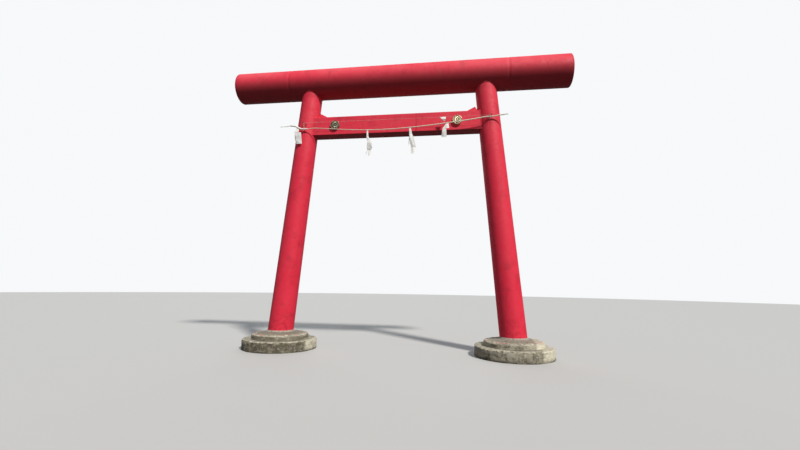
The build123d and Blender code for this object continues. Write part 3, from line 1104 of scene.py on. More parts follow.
def nurbs_line(name: str, points: Sequence[Place]) -> Piece:
    """A smooth open curve with the given control points.

    Args:
        name: The curve's name.
        points: The control points.

    Returns:
        The curve object, with no thickness.
    """
    curve = bpy.data.curves.new(name, "CURVE")
    curve.dimensions = "3D"
    curve.resolution_u = 24
    spline = curve.splines.new("NURBS")
    spline.points.add(len(points) - 1)
    for target, point in zip(spline.points, points):
        target.co = (*point, 1.0)
    spline.order_u = 3
    spline.use_endpoint_u = True
    return show(name, curve)


def line_length(points: Sequence[Vector]) -> float:
    """The length of a run of points."""
    return sum((second - first).length for first, second in zip(points, points[1:]))


def spread(line: Sequence[Vector], count: int) -> list[Vector]:
    """Space points evenly along a run of points.

    Args:
        line: The run.
        count: How many steps to take along it.

    Returns:
        The points, from the run's start to its end.
    """
    lengths = [0.0]
    for first, second in zip(line, line[1:]):
        lengths.append(lengths[-1] + (second - first).length)
    points, segment = [], 0
    for index in range(count + 1):
        goal = lengths[-1] * index / count
        while segment < len(line) - 2 and lengths[segment + 1] < goal:
            segment += 1
        part = (goal - lengths[segment]) / max(lengths[segment + 1] - lengths[segment], 1e-9)
        points.append(line[segment].lerp(line[segment + 1], min(1.0, part)))
    return points


def read_line(line: Piece, spacing: float) -> list[Vector]:
    """Read evenly spaced points from a curve's own line.

    Args:
        line: A curve object with no thickness.
        spacing: The distance between points, in metres.

    Returns:
        The points, from the curve's start to its end.
    """
    bpy.context.view_layer.update()
    mesh = bpy.data.meshes.new_from_object(line)
    raw = [vertex.co.copy() for vertex in mesh.vertices]
    bpy.data.meshes.remove(mesh)
    return spread(raw, max(2, round(line_length(raw) / spacing)))


def ripple(count: int, radius: float, period: float, depth: float) -> list[float]:
    """Radii of a bead that swells by a share of its mean radius, once in each period of rings."""
    return [radius * (1 + depth * math.cos(math.tau * index / period)) for index in range(count)]


@dataclass
class WeldBeads:
    """Painted weld beads where the gate's steel parts meet."""

    paint: Material
    stand_off: float = 0.002
    radius: float = 0.0075
    saddle_radius: float = 0.009
    wedge_radius: float = 0.0055
    joint_radius: float = 0.0050
    joint_circle: float = 0.3830
    spacing: float = 0.006
    wedge_reach: float = 0.268
    wedge_half_depth: float = 0.090

    def lay(self, name: str, path: Sequence[Vector], closed: bool, radius: float) -> Piece:
        """Lay one bead along a path.

        Args:
            name: The bead's name.
            path: Points that the bead's middle follows.
            closed: Whether it runs right round.
            radius: The bead's radius.

        Returns:
            The bead.
        """
        run = [*path, path[0]] if closed else list(path)
        points = spread(run, max(8, round(line_length(run) / self.spacing)))
        if closed:
            points.pop()
        return tube(name, points, ripple(len(points), radius, 2.4, 0.10), closed=closed)

    def saddle(self, side: Side) -> list[Vector]:
        """The line where a post's end meets the underside of the kasagi.

        Args:
            side: Which post.

        Returns:
            Its points.
        """
        off = self.stand_off
        return [LINES.on_post(side, LINES.saddle_height(side, turn, off, off), turn, off)
                for turn in circle(160)]

    def cope(self, side: Side) -> list[Vector]:
        """The line where the end of the nuki meets a post.

        Args:
            side: Which post.

        Returns:
            The line's points.
        """
        corner = LINES.nuki_corner
        deep = LINES.nuki_half_depth + self.stand_off - corner
        low = LINES.nuki_low - self.stand_off + corner
        high = LINES.nuki_high + self.stand_off - corner
        outline = []
        for begin, y, z in ((180, -deep, low), (270, deep, low), (0, deep, high), (90, -deep, high)):
            for step in range(7):
                angle = math.radians(begin + 15 * step)
                outline.append((y + corner * math.cos(angle), z + corner * math.sin(angle)))
        return [LINES.beside_post(side, y, z, self.stand_off) for y, z in divided(outline, 0.02)]

    def joint_ring(self, x: float) -> list[Vector]:
        """The points of a circle round the kasagi at a distance along it."""
        return [Vector((x, self.joint_circle * math.cos(turn),
                        LINES.kasagi_height + self.joint_circle * math.sin(turn))) for turn in circle(180)]

    def wedge_edges(self, side: Side) -> list[list[Vector]]:
        """The two long edges where a wedge stands on the nuki.

        Args:
            side: Which wedge.

        Returns:
            The points of each edge.
        """
        edges = []
        for face in (-1, 1):
            depth = face * (self.wedge_half_depth + self.stand_off)
            inner = LINES.beside_post(side, depth, LINES.nuki_high, self.stand_off)
            tip = inner - Vector((side.value * self.wedge_reach, 0.0, 0.0))
            edges.append([inner.lerp(tip, part / 12) for part in range(13)])
        return edges

    def build(self) -> None:
        """Lay every bead and join them into one piece for each joint."""
        for side in Side:
            saddle = self.lay(f"{side.label}_saddle_weld", self.saddle(side), True, self.saddle_radius)
            mount(saddle, Slot.PAINT, self.paint)
            beads = [self.lay("cope", self.cope(side), True, self.radius)]
            beads += [self.lay("wedge", edge, False, self.wedge_radius) for edge in self.wedge_edges(side)]
            mount(join(beads, f"{side.label}_nuki_weld"), Slot.PAINT, self.paint)
            rings = [self.lay("joint", self.joint_ring(side.value * offset), True, self.joint_radius)
                     for offset in LINES.kasagi_joint]
            mount(join(rings, f"{side.label}_kasagi_weld"), Slot.PAINT, self.paint)


@dataclass
class RolledSteel:
    """Skins of the posts, the top rail and the nuki: painted plate that isn't quite true."""

    paint: Material
    around: int = 176
    kasagi_around: int = 224
    post_cuts: tuple[int, ...] = (11, 14)
    outer_cuts: tuple[int, ...] = (5, 5)
    middle_cuts: tuple[int, ...] = (10, 11)
    wall: float = 0.009
    plate_recess: float = 0.0206
    seat: float = 0.0003
    kasagi_edge: float = 0.0022
    nuki_gap: float = 0.004
    cope_gap: float = 0.002
    cope_recess: float = 0.0018
    long_dent: float = 0.0014
    short_dent: float = 0.0006

    def ladder(self, piece: Piece, along: Vector, *cuts: int) -> None:
        """Cut every edge that runs one way into shorter ones.

        Args:
            piece: The mesh to cut.
            along: The way that the edges run.
            *cuts: How many cuts each pass makes in an edge.
        """
        for count in cuts:
            with editing(piece) as mesh:
                for edge in mesh.edges:
                    run = edge.verts[1].co - edge.verts[0].co
                    edge.select = abs(run.normalized().dot(along)) > 0.9999
                bmesh.update_edit_mesh(piece.data)
                bpy.ops.mesh.subdivide(number_cuts=count)

    def round_edges(self, piece: Piece, chosen: Callable[[float], bool], width: float, segments: int) -> None:
        """Round a piece's edges.

        Args:
            piece: The mesh to round.
            chosen: A test of how far an edge runs along the gate.
            width: The rounding's width.
            segments: How many facets it has.
        """
        with editing(piece) as mesh:
            for edge in mesh.edges:
                edge.select = chosen(abs(edge.verts[0].co.x - edge.verts[1].co.x))
            bmesh.update_edit_mesh(piece.data)
            bpy.ops.mesh.bevel(offset=width, segments=segments, affect="EDGES")

    def dent(self, place: Vector, seed: float) -> float:
        """How far hand-rolled plate lies inside its true line at a place, in metres.

        Args:
            place: The place.
            seed: Where the noise starts.

        Returns:
            The depth.
        """
        shift = Vector((seed, seed * 1.7, seed * 0.6))
        long_wave = 0.5 + 0.5 * noise.noise(place * 0.9 + shift)
        short_wave = 0.5 + 0.5 * noise.noise(place * 4.2 + shift)
        return self.long_dent * long_wave + self.short_dent * short_wave

    def foot_height(self, side: Side, angle: float) -> float:
        """The axis height whose ring touches the ground at a turn round the post."""
        slope = side.value * LINES.lean
        return slope / math.hypot(slope, 1.0) * LINES.post_radius(0.0) * math.cos(angle)

    def post(self, side: Side) -> Piece:
        """A tapered, leaning post that is cut square at the ground and coped to the kasagi.

        Args:
            side: Which post.

        Returns:
            The post.
        """
        bpy.ops.mesh.primitive_cylinder_add(vertices=self.around, radius=0.3, depth=1.0, location=(0, 0, 0.5))
        piece = start(f"{side.label}_post_rolled")
        self.ladder(piece, Vector((0, 0, 1)), *self.post_cuts)
        tops: dict[int, float] = {}
        for vertex in piece.data.vertices:
            angle = math.atan2(vertex.co.y, vertex.co.x)
            key = round(math.degrees(angle) * 100)
            if key not in tops:
                tops[key] = LINES.saddle_height(side, angle, self.seat)
            height = between(self.foot_height(side, angle), tops[key], vertex.co.z)
            place = LINES.on_post(side, height, angle)
            vertex.co = LINES.on_post(side, height, angle, -self.dent(place, 2.0 + side.value))
            vertex.co.z = max(0.0, vertex.co.z)
        with editing(piece) as mesh:
            for face in mesh.faces:
                face.select = len(face.verts) > 4 and face.calc_center_median().z < 0.5
            bmesh.update_edit_mesh(piece.data)
            bpy.ops.mesh.inset(thickness=self.wall)
            bpy.ops.mesh.extrude_region_move(TRANSFORM_OT_translate={"value": (0, 0, self.plate_recess)})
        smooth(piece, 40)
        return piece

    def kasagi_length(self, name: str, begin: float, end: float, cuts: tuple[int, ...]) -> Piece:
        """One round length of the top rail.

        Args:
            name: The piece's name.
            begin: Where it starts along the rail.
            end: Where it ends.
            cuts: How its length is divided, pass by pass.

        Returns:
            The length.
        """
        bpy.ops.mesh.primitive_cylinder_add(vertices=self.kasagi_around, radius=LINES.kasagi_diameter / 2,
                                            depth=abs(end - begin), rotation=(0, math.radians(90), 0),
                                            location=((begin + end) / 2, 0, LINES.kasagi_height))
        piece = start(name)
        self.round_edges(piece, lambda run: run < 1e-5, self.kasagi_edge, 2)
        self.ladder(piece, Vector((1, 0, 0)), *cuts)
        for vertex in piece.data.vertices:
            away = Vector((0, vertex.co.y, vertex.co.z - LINES.kasagi_height))
            if away.length > 0.2:
                vertex.co -= away.normalized() * self.dent(vertex.co, 7.0)
        smooth(piece, 40)
        return piece

    def nuki_length(self, side: Side) -> Piece:
        """One length of the tie beam, from the seam to the side of its post.

        Args:
            side: Which length.

        Returns:
            The length.
        """
        seam = LINES.nuki_seam + side.value * self.nuki_gap
        span = side.value * 2.0 - seam
        half_height = (LINES.nuki_high - LINES.nuki_low) / 2
        bpy.ops.mesh.primitive_cube_add(size=1.0, location=(seam + span / 2, 0, LINES.nuki_middle),
                                        scale=(abs(span), 2 * LINES.nuki_half_depth, 2 * half_height))
        piece = start(f"nuki_{side.label}_plated")
        self.round_edges(piece, lambda run: run > 0.5, LINES.nuki_corner, 5)
        for way, cuts in (((0, 0, 1), (11,)), ((0, 1, 0), (7,)), ((1, 0, 0), (6, 8))):
            self.ladder(piece, Vector(way), *cuts)
        ends: dict[tuple[int, int], float] = {}
        for vertex in piece.data.vertices:
            place = vertex.co.copy()
            key = (round(place.y * 1e5), round(place.z * 1e5))
            if key not in ends:
                cope = LINES.beside_post(side, place.y, place.z, self.cope_gap)
                ends[key] = cope.x - side.value * self.cope_recess
            place.x = seam + (ends[key] - seam) * (place.x - seam) / span
            deep, tall = place.y / LINES.nuki_half_depth, (place.z - LINES.nuki_middle) / half_height
            if abs(deep) > abs(tall):
                faced = Vector((0, math.copysign(1, deep), 0))
            else:
                faced = Vector((0, 0, math.copysign(1, tall)))
            inner = clamp((1.0 - min(abs(deep), abs(tall))) * 4)
            vertex.co = place - faced * self.dent(place, 11.0) * inner
        smooth(piece, 40)
        return piece

    def build(self) -> None:
        """Make every length and put it over its CAD solid."""
        inner_joint, outer_joint = LINES.kasagi_joint
        for side in Side:
            mount(self.post(side), Slot.PAINT, self.paint, f"{side.label}_post")
            mount(self.nuki_length(side), Slot.PAINT, self.paint, f"nuki_{side.label}_length")
            outer = self.kasagi_length(f"kasagi_{side.label}_rolled", side.value * outer_joint,
                                       side.value * LINES.kasagi_end, self.outer_cuts)
            mount(outer, Slot.PAINT, self.paint, f"kasagi_{side.label}_pipe")
        middle = self.kasagi_length("kasagi_middle_rolled", -inner_joint, inner_joint, self.middle_cuts)
        mount(middle, Slot.PAINT, self.paint, "kasagi_middle_pipe")


@dataclass
class BaseStones:
    """Two round stones at each post, chipped and worn, with a mortar collar on top.

    Each of the worn arris' points lies so far in from the lower stone's rim and down from its top.
    """

    foot_offset: float = 2.7027
    lower_radius: float = 0.860
    lower_height: float = 0.240
    foot_chamfer: Limits = (0.012, 0.014)
    worn_arris: Outline = ((0.0, 0.024), (0.008, 0.007), (0.026, 0.0))
    upper_radius: float = 0.660
    upper_height: float = 0.390
    shoulder_height: float = 0.355
    shoulder_radius: float = 0.045
    crown_radius: float = 0.360
    bore_radius: float = 0.31
    bore_zone: float = 0.36
    bore_clearance: float = 0.004
    bed_joint: float = 0.0004
    collar_bore: float = 0.305
    mortar_height: float = 0.035
    grid: float = 0.017
    segments: int = 300
    skin_depth: float = 0.005
    swell_depth: float = 0.006
    tool_depth: float = 0.003
    flake_depth: float = 0.004
    bed_depth: float = 0.005
    crack_depth: float = 0.006

    def centre(self, side: Side, height: float = 0.0) -> Vector:
        """The middle of a base at a height."""
        return Vector((side.value * self.foot_offset, 0.0, height))

    def turned(self, name: str, side: Side, outline: Outline) -> Piece:
        """Carry a circle through a closed outline, as on a lathe.

        Args:
            name: The piece's name.
            side: Which post it stands at.
            outline: Radius and height of each ring.

        Returns:
            The closed ring of stone.
        """
        rings = divided(outline, self.grid)
        rings.append(rings[0])
        first_wide, first_high = rings[0]
        bpy.ops.mesh.primitive_circle_add(vertices=self.segments, radius=first_wide,
                                          location=self.centre(side, first_high))
        piece = start(name)
        with editing(piece, everything=True):
            for (wide, high), (next_wide, next_high) in zip(rings, rings[1:]):
                bpy.ops.mesh.extrude_edges_move(TRANSFORM_OT_translate={"value": (0, 0, next_high - high)})
                grow = next_wide / wide
                bpy.ops.transform.resize(value=(grow, grow, 1.0), center_override=self.centre(side))
            bpy.ops.mesh.select_all(action="SELECT")
            bpy.ops.mesh.remove_doubles(threshold=1e-5)
            bpy.ops.mesh.normals_make_consistent(inside=False)
        return piece

    def fit_bore(self, piece: Piece, side: Side) -> None:
        """Move the bore's wall out to the leaning post.

        Args:
            piece: The turned stone.
            side: Which post stands in it.
        """
        for vertex in piece.data.vertices:
            offset = vertex.co - self.centre(side, vertex.co.z)
            if offset.length < self.bore_zone:
                angle = math.atan2(offset.y, offset.x)
                wall = LINES.on_post(side, vertex.co.z, angle, self.bore_clearance)
                vertex.co.x, vertex.co.y = wall.x, wall.y

    def weather(self, piece: Piece, side: Side, low: float, high: float, rim: float, worn: float,
                seed: float) -> None:
        """Wear the stone's skin inward: long swells, tool marks, and broken arrises.

        Args:
            piece: The turned stone.
            side: Which post it stands at.
            low: The height of its underside.
            high: The height of its top arris.
            rim: The arris' radius.
            worn: How deep the arris is broken, in metres.
            seed: Where the noise starts.
        """
        centre = self.centre(side)
        shift = Vector((seed, seed * 0.7, seed * 1.3))
        normals = [vertex.normal.copy() for vertex in piece.data.vertices]
        for vertex, normal in zip(piece.data.vertices, normals):
            place = vertex.co.copy()
            reach = Vector((place.x - centre.x, place.y, 0)).length
            if reach < self.bore_zone or place.z < low + 0.004:
                continue
            swell = noise.fractal(place * 2.4 + shift, 1.0, 2.1, 3)
            tooling = noise.fractal(place * 21 + shift, 0.8, 2.2, 4) + 0.4
            nearest, second = noise.voronoi(place * 11 + shift)[0][:2]
            flakes = 0.5 - clamp(second - nearest)
            layered = Vector((place.x * 2.2, place.y * 2.2, place.z * 24)) + shift
            beds = noise.fractal(layered, 0.9, 2.0, 3) * (1.0 - abs(normal.z))
            vein = noise.fractal(place * 3.4 + shift * 3, 0.9, 2.0, 4)
            cracks = max(0.0, 1.0 - abs(vein) / 0.022)
            breaks = max(0.0, noise.fractal(place * 5.2 + shift * 2, 0.8, 2.0, 4) + 0.05)
            near_arris = max(0.0, 1 - abs(place.z - high) / 0.06) * max(0.0, 1 - abs(reach - rim) / 0.08)
            depth = self.skin_depth + self.swell_depth * swell + self.tool_depth * tooling
            depth += self.flake_depth * flakes + self.bed_depth * beds + self.crack_depth * cracks
            depth += worn * near_arris * min(1.0, breaks * 2.4)
            vertex.co = place - normal * max(0.0, depth) * clamp((reach - 0.355) / 0.070)

    def lower(self, side: Side) -> Piece:
        """The wide lower stone.

        Args:
            side: Which post.

        Returns:
            The stone.
        """
        chamfer_in, chamfer_up = self.foot_chamfer
        rim, top = self.lower_radius, self.lower_height
        outline = [(self.bore_radius, 0.0), (rim - chamfer_in, 0.0), (rim, chamfer_up)]
        outline += [(rim - inward, top - down) for inward, down in self.worn_arris]
        outline.append((self.bore_radius, top))
        stone = self.turned(f"{side.label}_lower_stone_worn", side, outline)
        self.fit_bore(stone, side)
        self.weather(stone, side, 0.0, top - 0.010, rim, 0.030, 3.1 + side.value)
        return stone

    def upper(self, side: Side) -> Piece:
        """The upper stone, with a rounded shoulder and a top that slopes up to the post.

        Args:
            side: Which post.

        Returns:
            The stone.
        """
        foot = self.lower_height + self.bed_joint
        outline = [(self.bore_radius, foot), (self.upper_radius, foot)]
        for step in range(7):
            turn = math.radians(90 * step / 6)
            outline.append((self.upper_radius - self.shoulder_radius * (1 - math.cos(turn)),
                            self.shoulder_height - self.shoulder_radius * (1 - math.sin(turn))))
        outline += [(self.crown_radius, self.upper_height), (self.bore_radius, self.upper_height)]
        stone = self.turned(f"{side.label}_upper_stone_worn", side, outline)
        self.fit_bore(stone, side)
        self.weather(stone, side, self.lower_height, self.shoulder_height - 0.012, self.upper_radius, 0.024,
                     8.4 + side.value)
        return stone

    def collar(self, side: Side) -> Piece:
        """The rough mortar collar that closes the joint round the post, smeared out over the stone.

        Args:
            side: Which post.

        Returns:
            The collar.
        """
        foot = self.upper_height + self.bed_joint
        top = self.upper_height + self.mortar_height
        outline = [(self.collar_bore, foot), (0.357, foot), (0.354, foot + 0.003), (0.343, foot + 0.008),
                   (0.333, foot + 0.015), (0.326, top - 0.012), (0.319, top - 0.004), (self.collar_bore, top)]
        ring = self.turned(f"{side.label}_mortar_collar", side, outline)
        for vertex in ring.data.vertices:
            offset = vertex.co - self.centre(side, vertex.co.z)
            angle = math.atan2(offset.y, offset.x)
            spread_out = max(0.0, offset.length - self.collar_bore)
            rough = noise.fractal(vertex.co * 15, 0.9, 2.1, 4) * 0.22
            rough += noise.noise(vertex.co * 4) * 0.26 - 0.16
            grown = 0.0005 + max(0.0, spread_out * (1 + rough) - 0.003)
            wall = LINES.on_post(side, vertex.co.z, angle, grown)
            vertex.co.x, vertex.co.y = wall.x, wall.y
            if spread_out > 0.002 and vertex.co.z > foot + 0.002:
                vertex.co.z += max(foot + 0.001 - vertex.co.z, min(0.0, (rough + 0.06) * 0.020))
        return ring

    def build(self, side: Side, low_finish: Material, high_finish: Material, mortar: Material) -> None:
        """Build one post's base.

        Args:
            side: Which post it holds.
            low_finish: The lower stone's material.
            high_finish: The upper stone's material.
            mortar: The collar's material.
        """
        pieces = ((self.lower(side), Slot.STONE, low_finish, "lower_stone"),
                  (self.upper(side), Slot.STONE, high_finish, "upper_stone"),
                  (self.collar(side), Slot.MORTAR, mortar, "foot_mortar"))
        for piece, slot, finish, node in pieces:
            smooth(piece, 50)
            mount(piece, slot, finish, f"{side.label}_{node}")


@dataclass
class Crest:
    """A cast crest: rolled rim, twelve ribbed petals with a leaf point between, and a beaded boss."""

    side: Side
    bronze: Material
    offset: float = 1.515
    face: float = -0.2056
    radius: float = 0.114
    petals: int = 12
    petal_circle: float = 0.063
    petal_root: float = -0.027
    petal_length: float = 0.056
    petal_half_width: float = 0.0185
    dome_height: float = 0.0125
    rib_height: float = 0.0016
    notch_depth: float = 0.004
    leaf_reach: float = 0.026
    beads: int = 18
    bead_circle: float = 0.0325

    def turned_up(self, piece: Piece, angle: float = 0.0) -> None:
        """Turn a piece that was modelled flat at the origin to face the front, at its place on the crest.

        Args:
            piece: The piece, modelled on the XY plane with its petal towards +Y.
            angle: Its turn round the crest's axis.
        """
        centre = Vector((self.side.value * self.offset, self.face, LINES.nuki_middle))
        upright = Matrix.Rotation(math.radians(90), 4, "X")
        piece.data.transform(Matrix.Translation(centre) @ upright @ Matrix.Rotation(angle, 4, "Z"))

    def petal(self) -> Piece:
        """One domed petal with a raised rib, modelled flat with its root towards the middle.

        Returns:
            The petal.
        """
        bpy.ops.mesh.primitive_grid_add(x_subdivisions=12, y_subdivisions=18, size=1.0, location=(0, 0, 0))
        piece = start("petal")
        for vertex in piece.data.vertices:
            across, along = vertex.co.x * 2, vertex.co.y + 0.5
            half = self.petal_half_width * math.sin(math.pi * (0.10 + 0.84 * along ** 0.86)) ** 0.62
            reach = self.petal_circle + self.petal_root + self.petal_length * along
            swell = math.sin(math.pi * min(1.0, 0.12 + 0.82 * along)) ** 0.5
            dome = self.dome_height * math.sqrt(max(0.0, 1 - (across * 0.98) ** 2)) * swell
            rib = self.rib_height * math.exp(-(across / 0.16) ** 2) * math.sin(math.pi * along)
            notch = self.notch_depth * max(0.0, along - 0.86) / 0.14 * math.exp(-(across / 0.25) ** 2)
            vertex.co = Vector((across * half, reach - notch, dome + rib))
        return piece

    def leaf(self) -> Piece:
        """One small leaf point that shows between two petals.

        Returns:
            The leaf.
        """
        reach = self.petal_circle + self.leaf_reach
        bpy.ops.mesh.primitive_cone_add(vertices=12, radius1=0.0085, radius2=0.0010, depth=0.010,
                                        location=(0, reach, 0.004))
        piece = start("leaf")
        with editing(piece, everything=True):
            bpy.ops.transform.resize(value=(0.62, 1.5, 1.0), center_override=(0, reach, 0.0))
        modify(piece, "BEVEL", width=0.0012, segments=2)
        return piece

    def boss(self) -> Piece:
        """The domed boss and its ring of beads.

        Returns:
            The boss.
        """
        bpy.ops.mesh.primitive_uv_sphere_add(segments=36, ring_count=18, radius=0.026, location=(0, 0, 0.006))
        dome = start("dome")
        with editing(dome, everything=True):
            bpy.ops.mesh.bisect(plane_co=(0, 0, 0.002), plane_no=(0, 0, 1), clear_inner=True, use_fill=True)
            bpy.ops.mesh.select_all(action="SELECT")
            bpy.ops.transform.resize(value=(1, 1, 0.62), center_override=(0, 0, 0.002))
        parts = [dome]
        for turn in circle(self.beads):
            place = (self.bead_circle * math.cos(turn), self.bead_circle * math.sin(turn), 0.007)
            bpy.ops.mesh.primitive_ico_sphere_add(subdivisions=2, radius=0.0042, location=place)
            parts.append(start("bead"))
        return join(parts, "boss")

    def rolled_rim(self) -> Piece:
        """The rolled rim with a fine inner thread.

        Returns:
            The rim.
        """
        parts = []
        for inward, minor, lift in ((0.0095, 0.0092, 0.009), (0.0225, 0.0026, 0.0030)):
            bpy.ops.mesh.primitive_torus_add(major_segments=96, minor_segments=14, location=(0, 0, lift),
                                             major_radius=self.radius - inward, minor_radius=minor)
            parts.append(start("ring"))
        return join(parts, "rim")

    def flower(self) -> Piece:
        """The ring of petals and leaf points, cast in one.

        Returns:
            The ring.
        """
        parts = []
        for step in range(self.petals):
            for part, turn in ((self.petal(), step), (self.leaf(), step + 0.5)):
                self.turned_up(part, math.tau * turn / self.petals)
                parts.append(part)
        castings = join(parts, "petals")
        modify(castings, "SOLIDIFY", thickness=0.0012, offset=-1.0)
        return castings

    def seat(self, piece: Piece, part: str, degrees: float) -> None:
        """Name a casting, smooth it up to an angle and put it over its CAD node.

        Args:
            piece: The casting.
            part: The last word of its node's name.
            degrees: The angle.
        """
        piece.name = f"{self.side.label}_crest_{part}_cast"
        smooth(piece, degrees)
        mount(piece, Slot.BRONZE, self.bronze, f"{self.side.label}_crest_{part}")

    def build(self) -> None:
        """Model the crest's castings and put them on its plate."""
        self.seat(self.flower(), "petals", 55)
        for piece, part, degrees in ((self.boss(), "boss", 50), (self.rolled_rim(), "rim", 60)):
            self.turned_up(piece)
            self.seat(piece, part, degrees)
        paint_node(f"{self.side.label}_crest_plate", self.bronze)


@dataclass
class StrawRope:
    """The rope across the front: three twisted strands, stray straws, wrapped left end and its ties.

    A route's points are X, how far the rope hangs in front of the hooks, and Z.
    """

    straw: Material
    wrap: Material
    string: Material
    front: float = -0.31004
    diameter: float = 0.024
    thin: float = 0.017
    thick: float = 0.030
    strand_turn: float = 0.088
    wrapped_diameter: float = 0.050
    lap: float = 0.058
    string_height: float = 5.484
    string_diameter: float = 0.005
    string_reach: float = 2.3
    string_sag: float = 0.0022
    yarn_radius: float = 0.0013
    yarn_circle: float = 0.00125
    yarn_turn: float = 0.021
    route: tuple[Place, ...] = (
        (-2.2713, 0.0, 5.322), (-2.180, 0.0, 5.322), (-2.060, 0.001, 5.338), (-1.860, 0.003, 5.326),
        (-1.520, 0.006, 5.293), (-1.180, 0.008, 5.262), (-0.820, 0.009, 5.236), (-0.425, 0.010, 5.224),
        (-0.070, 0.010, 5.228), (0.280, 0.009, 5.244), (0.675, 0.008, 5.270), (1.060, 0.006, 5.304),
        (1.465, 0.004, 5.349), (1.790, 0.001, 5.384), (2.020, 0.0, 5.416), (2.165, 0.0, 5.442),
        (2.3263, 0.0, 5.442), (2.430, 0.001, 5.458), (2.550, 0.002, 5.476), (2.673, 0.002, 5.488),
    )
    wrapped_route: tuple[Place, ...] = (
        (-2.2716, 0.0, 5.322), (-2.345, 0.0, 5.322), (-2.430, 0.001, 5.372), (-2.520, 0.003, 5.414),
        (-2.620, 0.004, 5.424), (-2.730, 0.004, 5.402), (-2.855, 0.003, 5.404),
    )
    line: list[Vector] = field(default_factory=list)
    wrapped_line: list[Vector] = field(default_factory=list)

    def follow(self, name: str, route: Sequence[Place], spacing: float) -> list[Vector]:
        """Smooth a route into a line.

        Args:
            name: The name of the curve that is laid for it and taken away again.
            route: The route's points.
            spacing: The distance between the line's points.

        Returns:
            The line's points.
        """
        curve = nurbs_line(name, [(x, self.front - ahead, z) for x, ahead, z in route])
        line = read_line(curve, spacing)
        bpy.data.objects.remove(curve)
        return line

    def width_at(self, share: float) -> float:
        """The rope's radius, which grows from its left end to its right."""
        grown = between(self.thin, self.thick, clamp(share * 1.35 - 0.2))
        return grown / 2 * (1.0 if share < 0.985 else 0.8)

    def twisted(self, line: Sequence[Vector], width: Callable[[float], float]) -> list[Piece]:
        """Twist three strands of straw round a line.

        Args:
            line: The line's points.
            width: The rope's radius at a share of the line's length.

        Returns:
            The strands.
        """
        parts = []
        total = line_length(line)
        for strand in range(3):
            centres, radii, travelled = [], [], 0.0
            for index, point in enumerate(line):
                before, after = line[max(index - 1, 0)], line[min(index + 1, len(line) - 1)]
                tangent = (after - before).normalized()
                side = tangent.cross(Vector((0, 0, 1))).normalized()
                up = side.cross(tangent)
                travelled += (point - before).length if index else 0.0
                radius = width(travelled / total)
                turn = math.tau * (travelled / self.strand_turn + strand / 3) + 0.35 * noise.noise(point * 3)
                lump = 1 + 0.10 * noise.noise(Vector((travelled * 22, strand * 9.0, 0)))
                centres.append(point + (side * math.cos(turn) + up * math.sin(turn)) * radius * 0.50)
                radii.append(radius * 0.53 * lump)
            parts.append(tube("strand", centres, radii, around=9, twist=-40))
        return parts

    def stray_straws(self, name: str, line: Sequence[Vector], count: int, radius: Callable[[float], float],
                     seed: int, ends: float) -> Piece:
        """Short straws that have worked loose and stand off the rope.

        Args:
            name: The piece's name.
            line: The rope's line.
            count: How many straws.
            radius: The rope's radius at a share of its length.
            seed: The random seed.
            ends: The share of straws that stand at the two ends.

        Returns:
            All the straws as one piece.
        """
        chance = random.Random(seed)
        points, faces = [], []
        for _ in range(count):
            share = chance.random()
            if chance.random() < ends:
                share = 0.996 if chance.random() < 0.7 else 0.004
            index = min(len(line) - 2, int(share * (len(line) - 1)))
            tangent = (line[index + 1] - line[index]).normalized()
            across = (Quaternion(tangent, chance.uniform(0, math.tau)) @ tangent.orthogonal()).normalized()
            forward = tangent if chance.random() < 0.5 else -tangent
            if share > 0.99 or share < 0.01:
                forward = tangent if share > 0.5 else -tangent
            root = line[index] + across * radius(share) * 0.75
            length = chance.uniform(0.018, 0.055)
            lift = chance.uniform(0.10, 0.42)
            width = chance.uniform(0.0007, 0.0013)
            edge = forward.cross(across) * width
            base = len(points)
            for ring, part in enumerate((0.0, 0.35, 0.7, 1.0)):
                droop = Vector((0, 0, 0.006 * part * part))
                place = root + forward * length * part + across * length * lift * part ** 1.7 - droop
                thin = edge * (1 - 0.25 * ring)
                points += [place - thin, place + thin, place + across * width * 0.6]
            for ring in range(3):
                for corner in range(3):
                    a, b = base + ring * 3 + corner, base + ring * 3 + (corner + 1) % 3
                    faces.append((a, b, b + 3, a + 3))
            faces += [(base, base + 2, base + 1), (base + 9, base + 10, base + 11)]
        piece = skin(name, points, faces, [(0.5, 0.5)] * sum(map(len, faces)))
        with editing(piece, everything=True):
            bpy.ops.mesh.normals_make_consistent(inside=False)
        return piece

    def wrapped_end(self) -> Piece:
        """The thick left end: paper wound round the rope in overlapping turns, and the bare rope past it.

        Returns:
            The end.
        """
        centres = [point for point in self.wrapped_line if point.x > WRAP_END]
        count = len(centres)
        total = line_length(centres)
        lengths = [index * total / (count - 1) for index in range(count)]
        radii = [self.wrapped_diameter / 2 * min(1.0, 0.70 + length * 4.0, 0.55 + (total - length) * 14.0)
                 for length in lengths]
        around = 30
        body = tube("left_wrapped_end", centres, radii, around=around, squash=0.90)
        for index, vertex in enumerate(body.data.vertices):
            ring = min(index // around, count - 1)
            away = vertex.co - centres[ring]
            turn = (lengths[ring] / self.lap + (index % around) / around) % 1.0
            lap = 0.17 * turn if turn < 0.94 else 0.16 * (1.0 - turn) / 0.06
            crease = noise.fractal(vertex.co * 30, 0.8, 2.2, 4) * 0.050 + 0.06 * noise.noise(vertex.co * 11)
            vertex.co = centres[ring] + away * (0.985 + crease - lap)
        bare = [point for point in self.wrapped_line if point.x < WRAP_END + 0.030]
        strands = self.twisted(bare, lambda share: self.thin / 2 * (1.0 - 0.25 * share))
        return join([body, *strands], "left_wrapped_end")

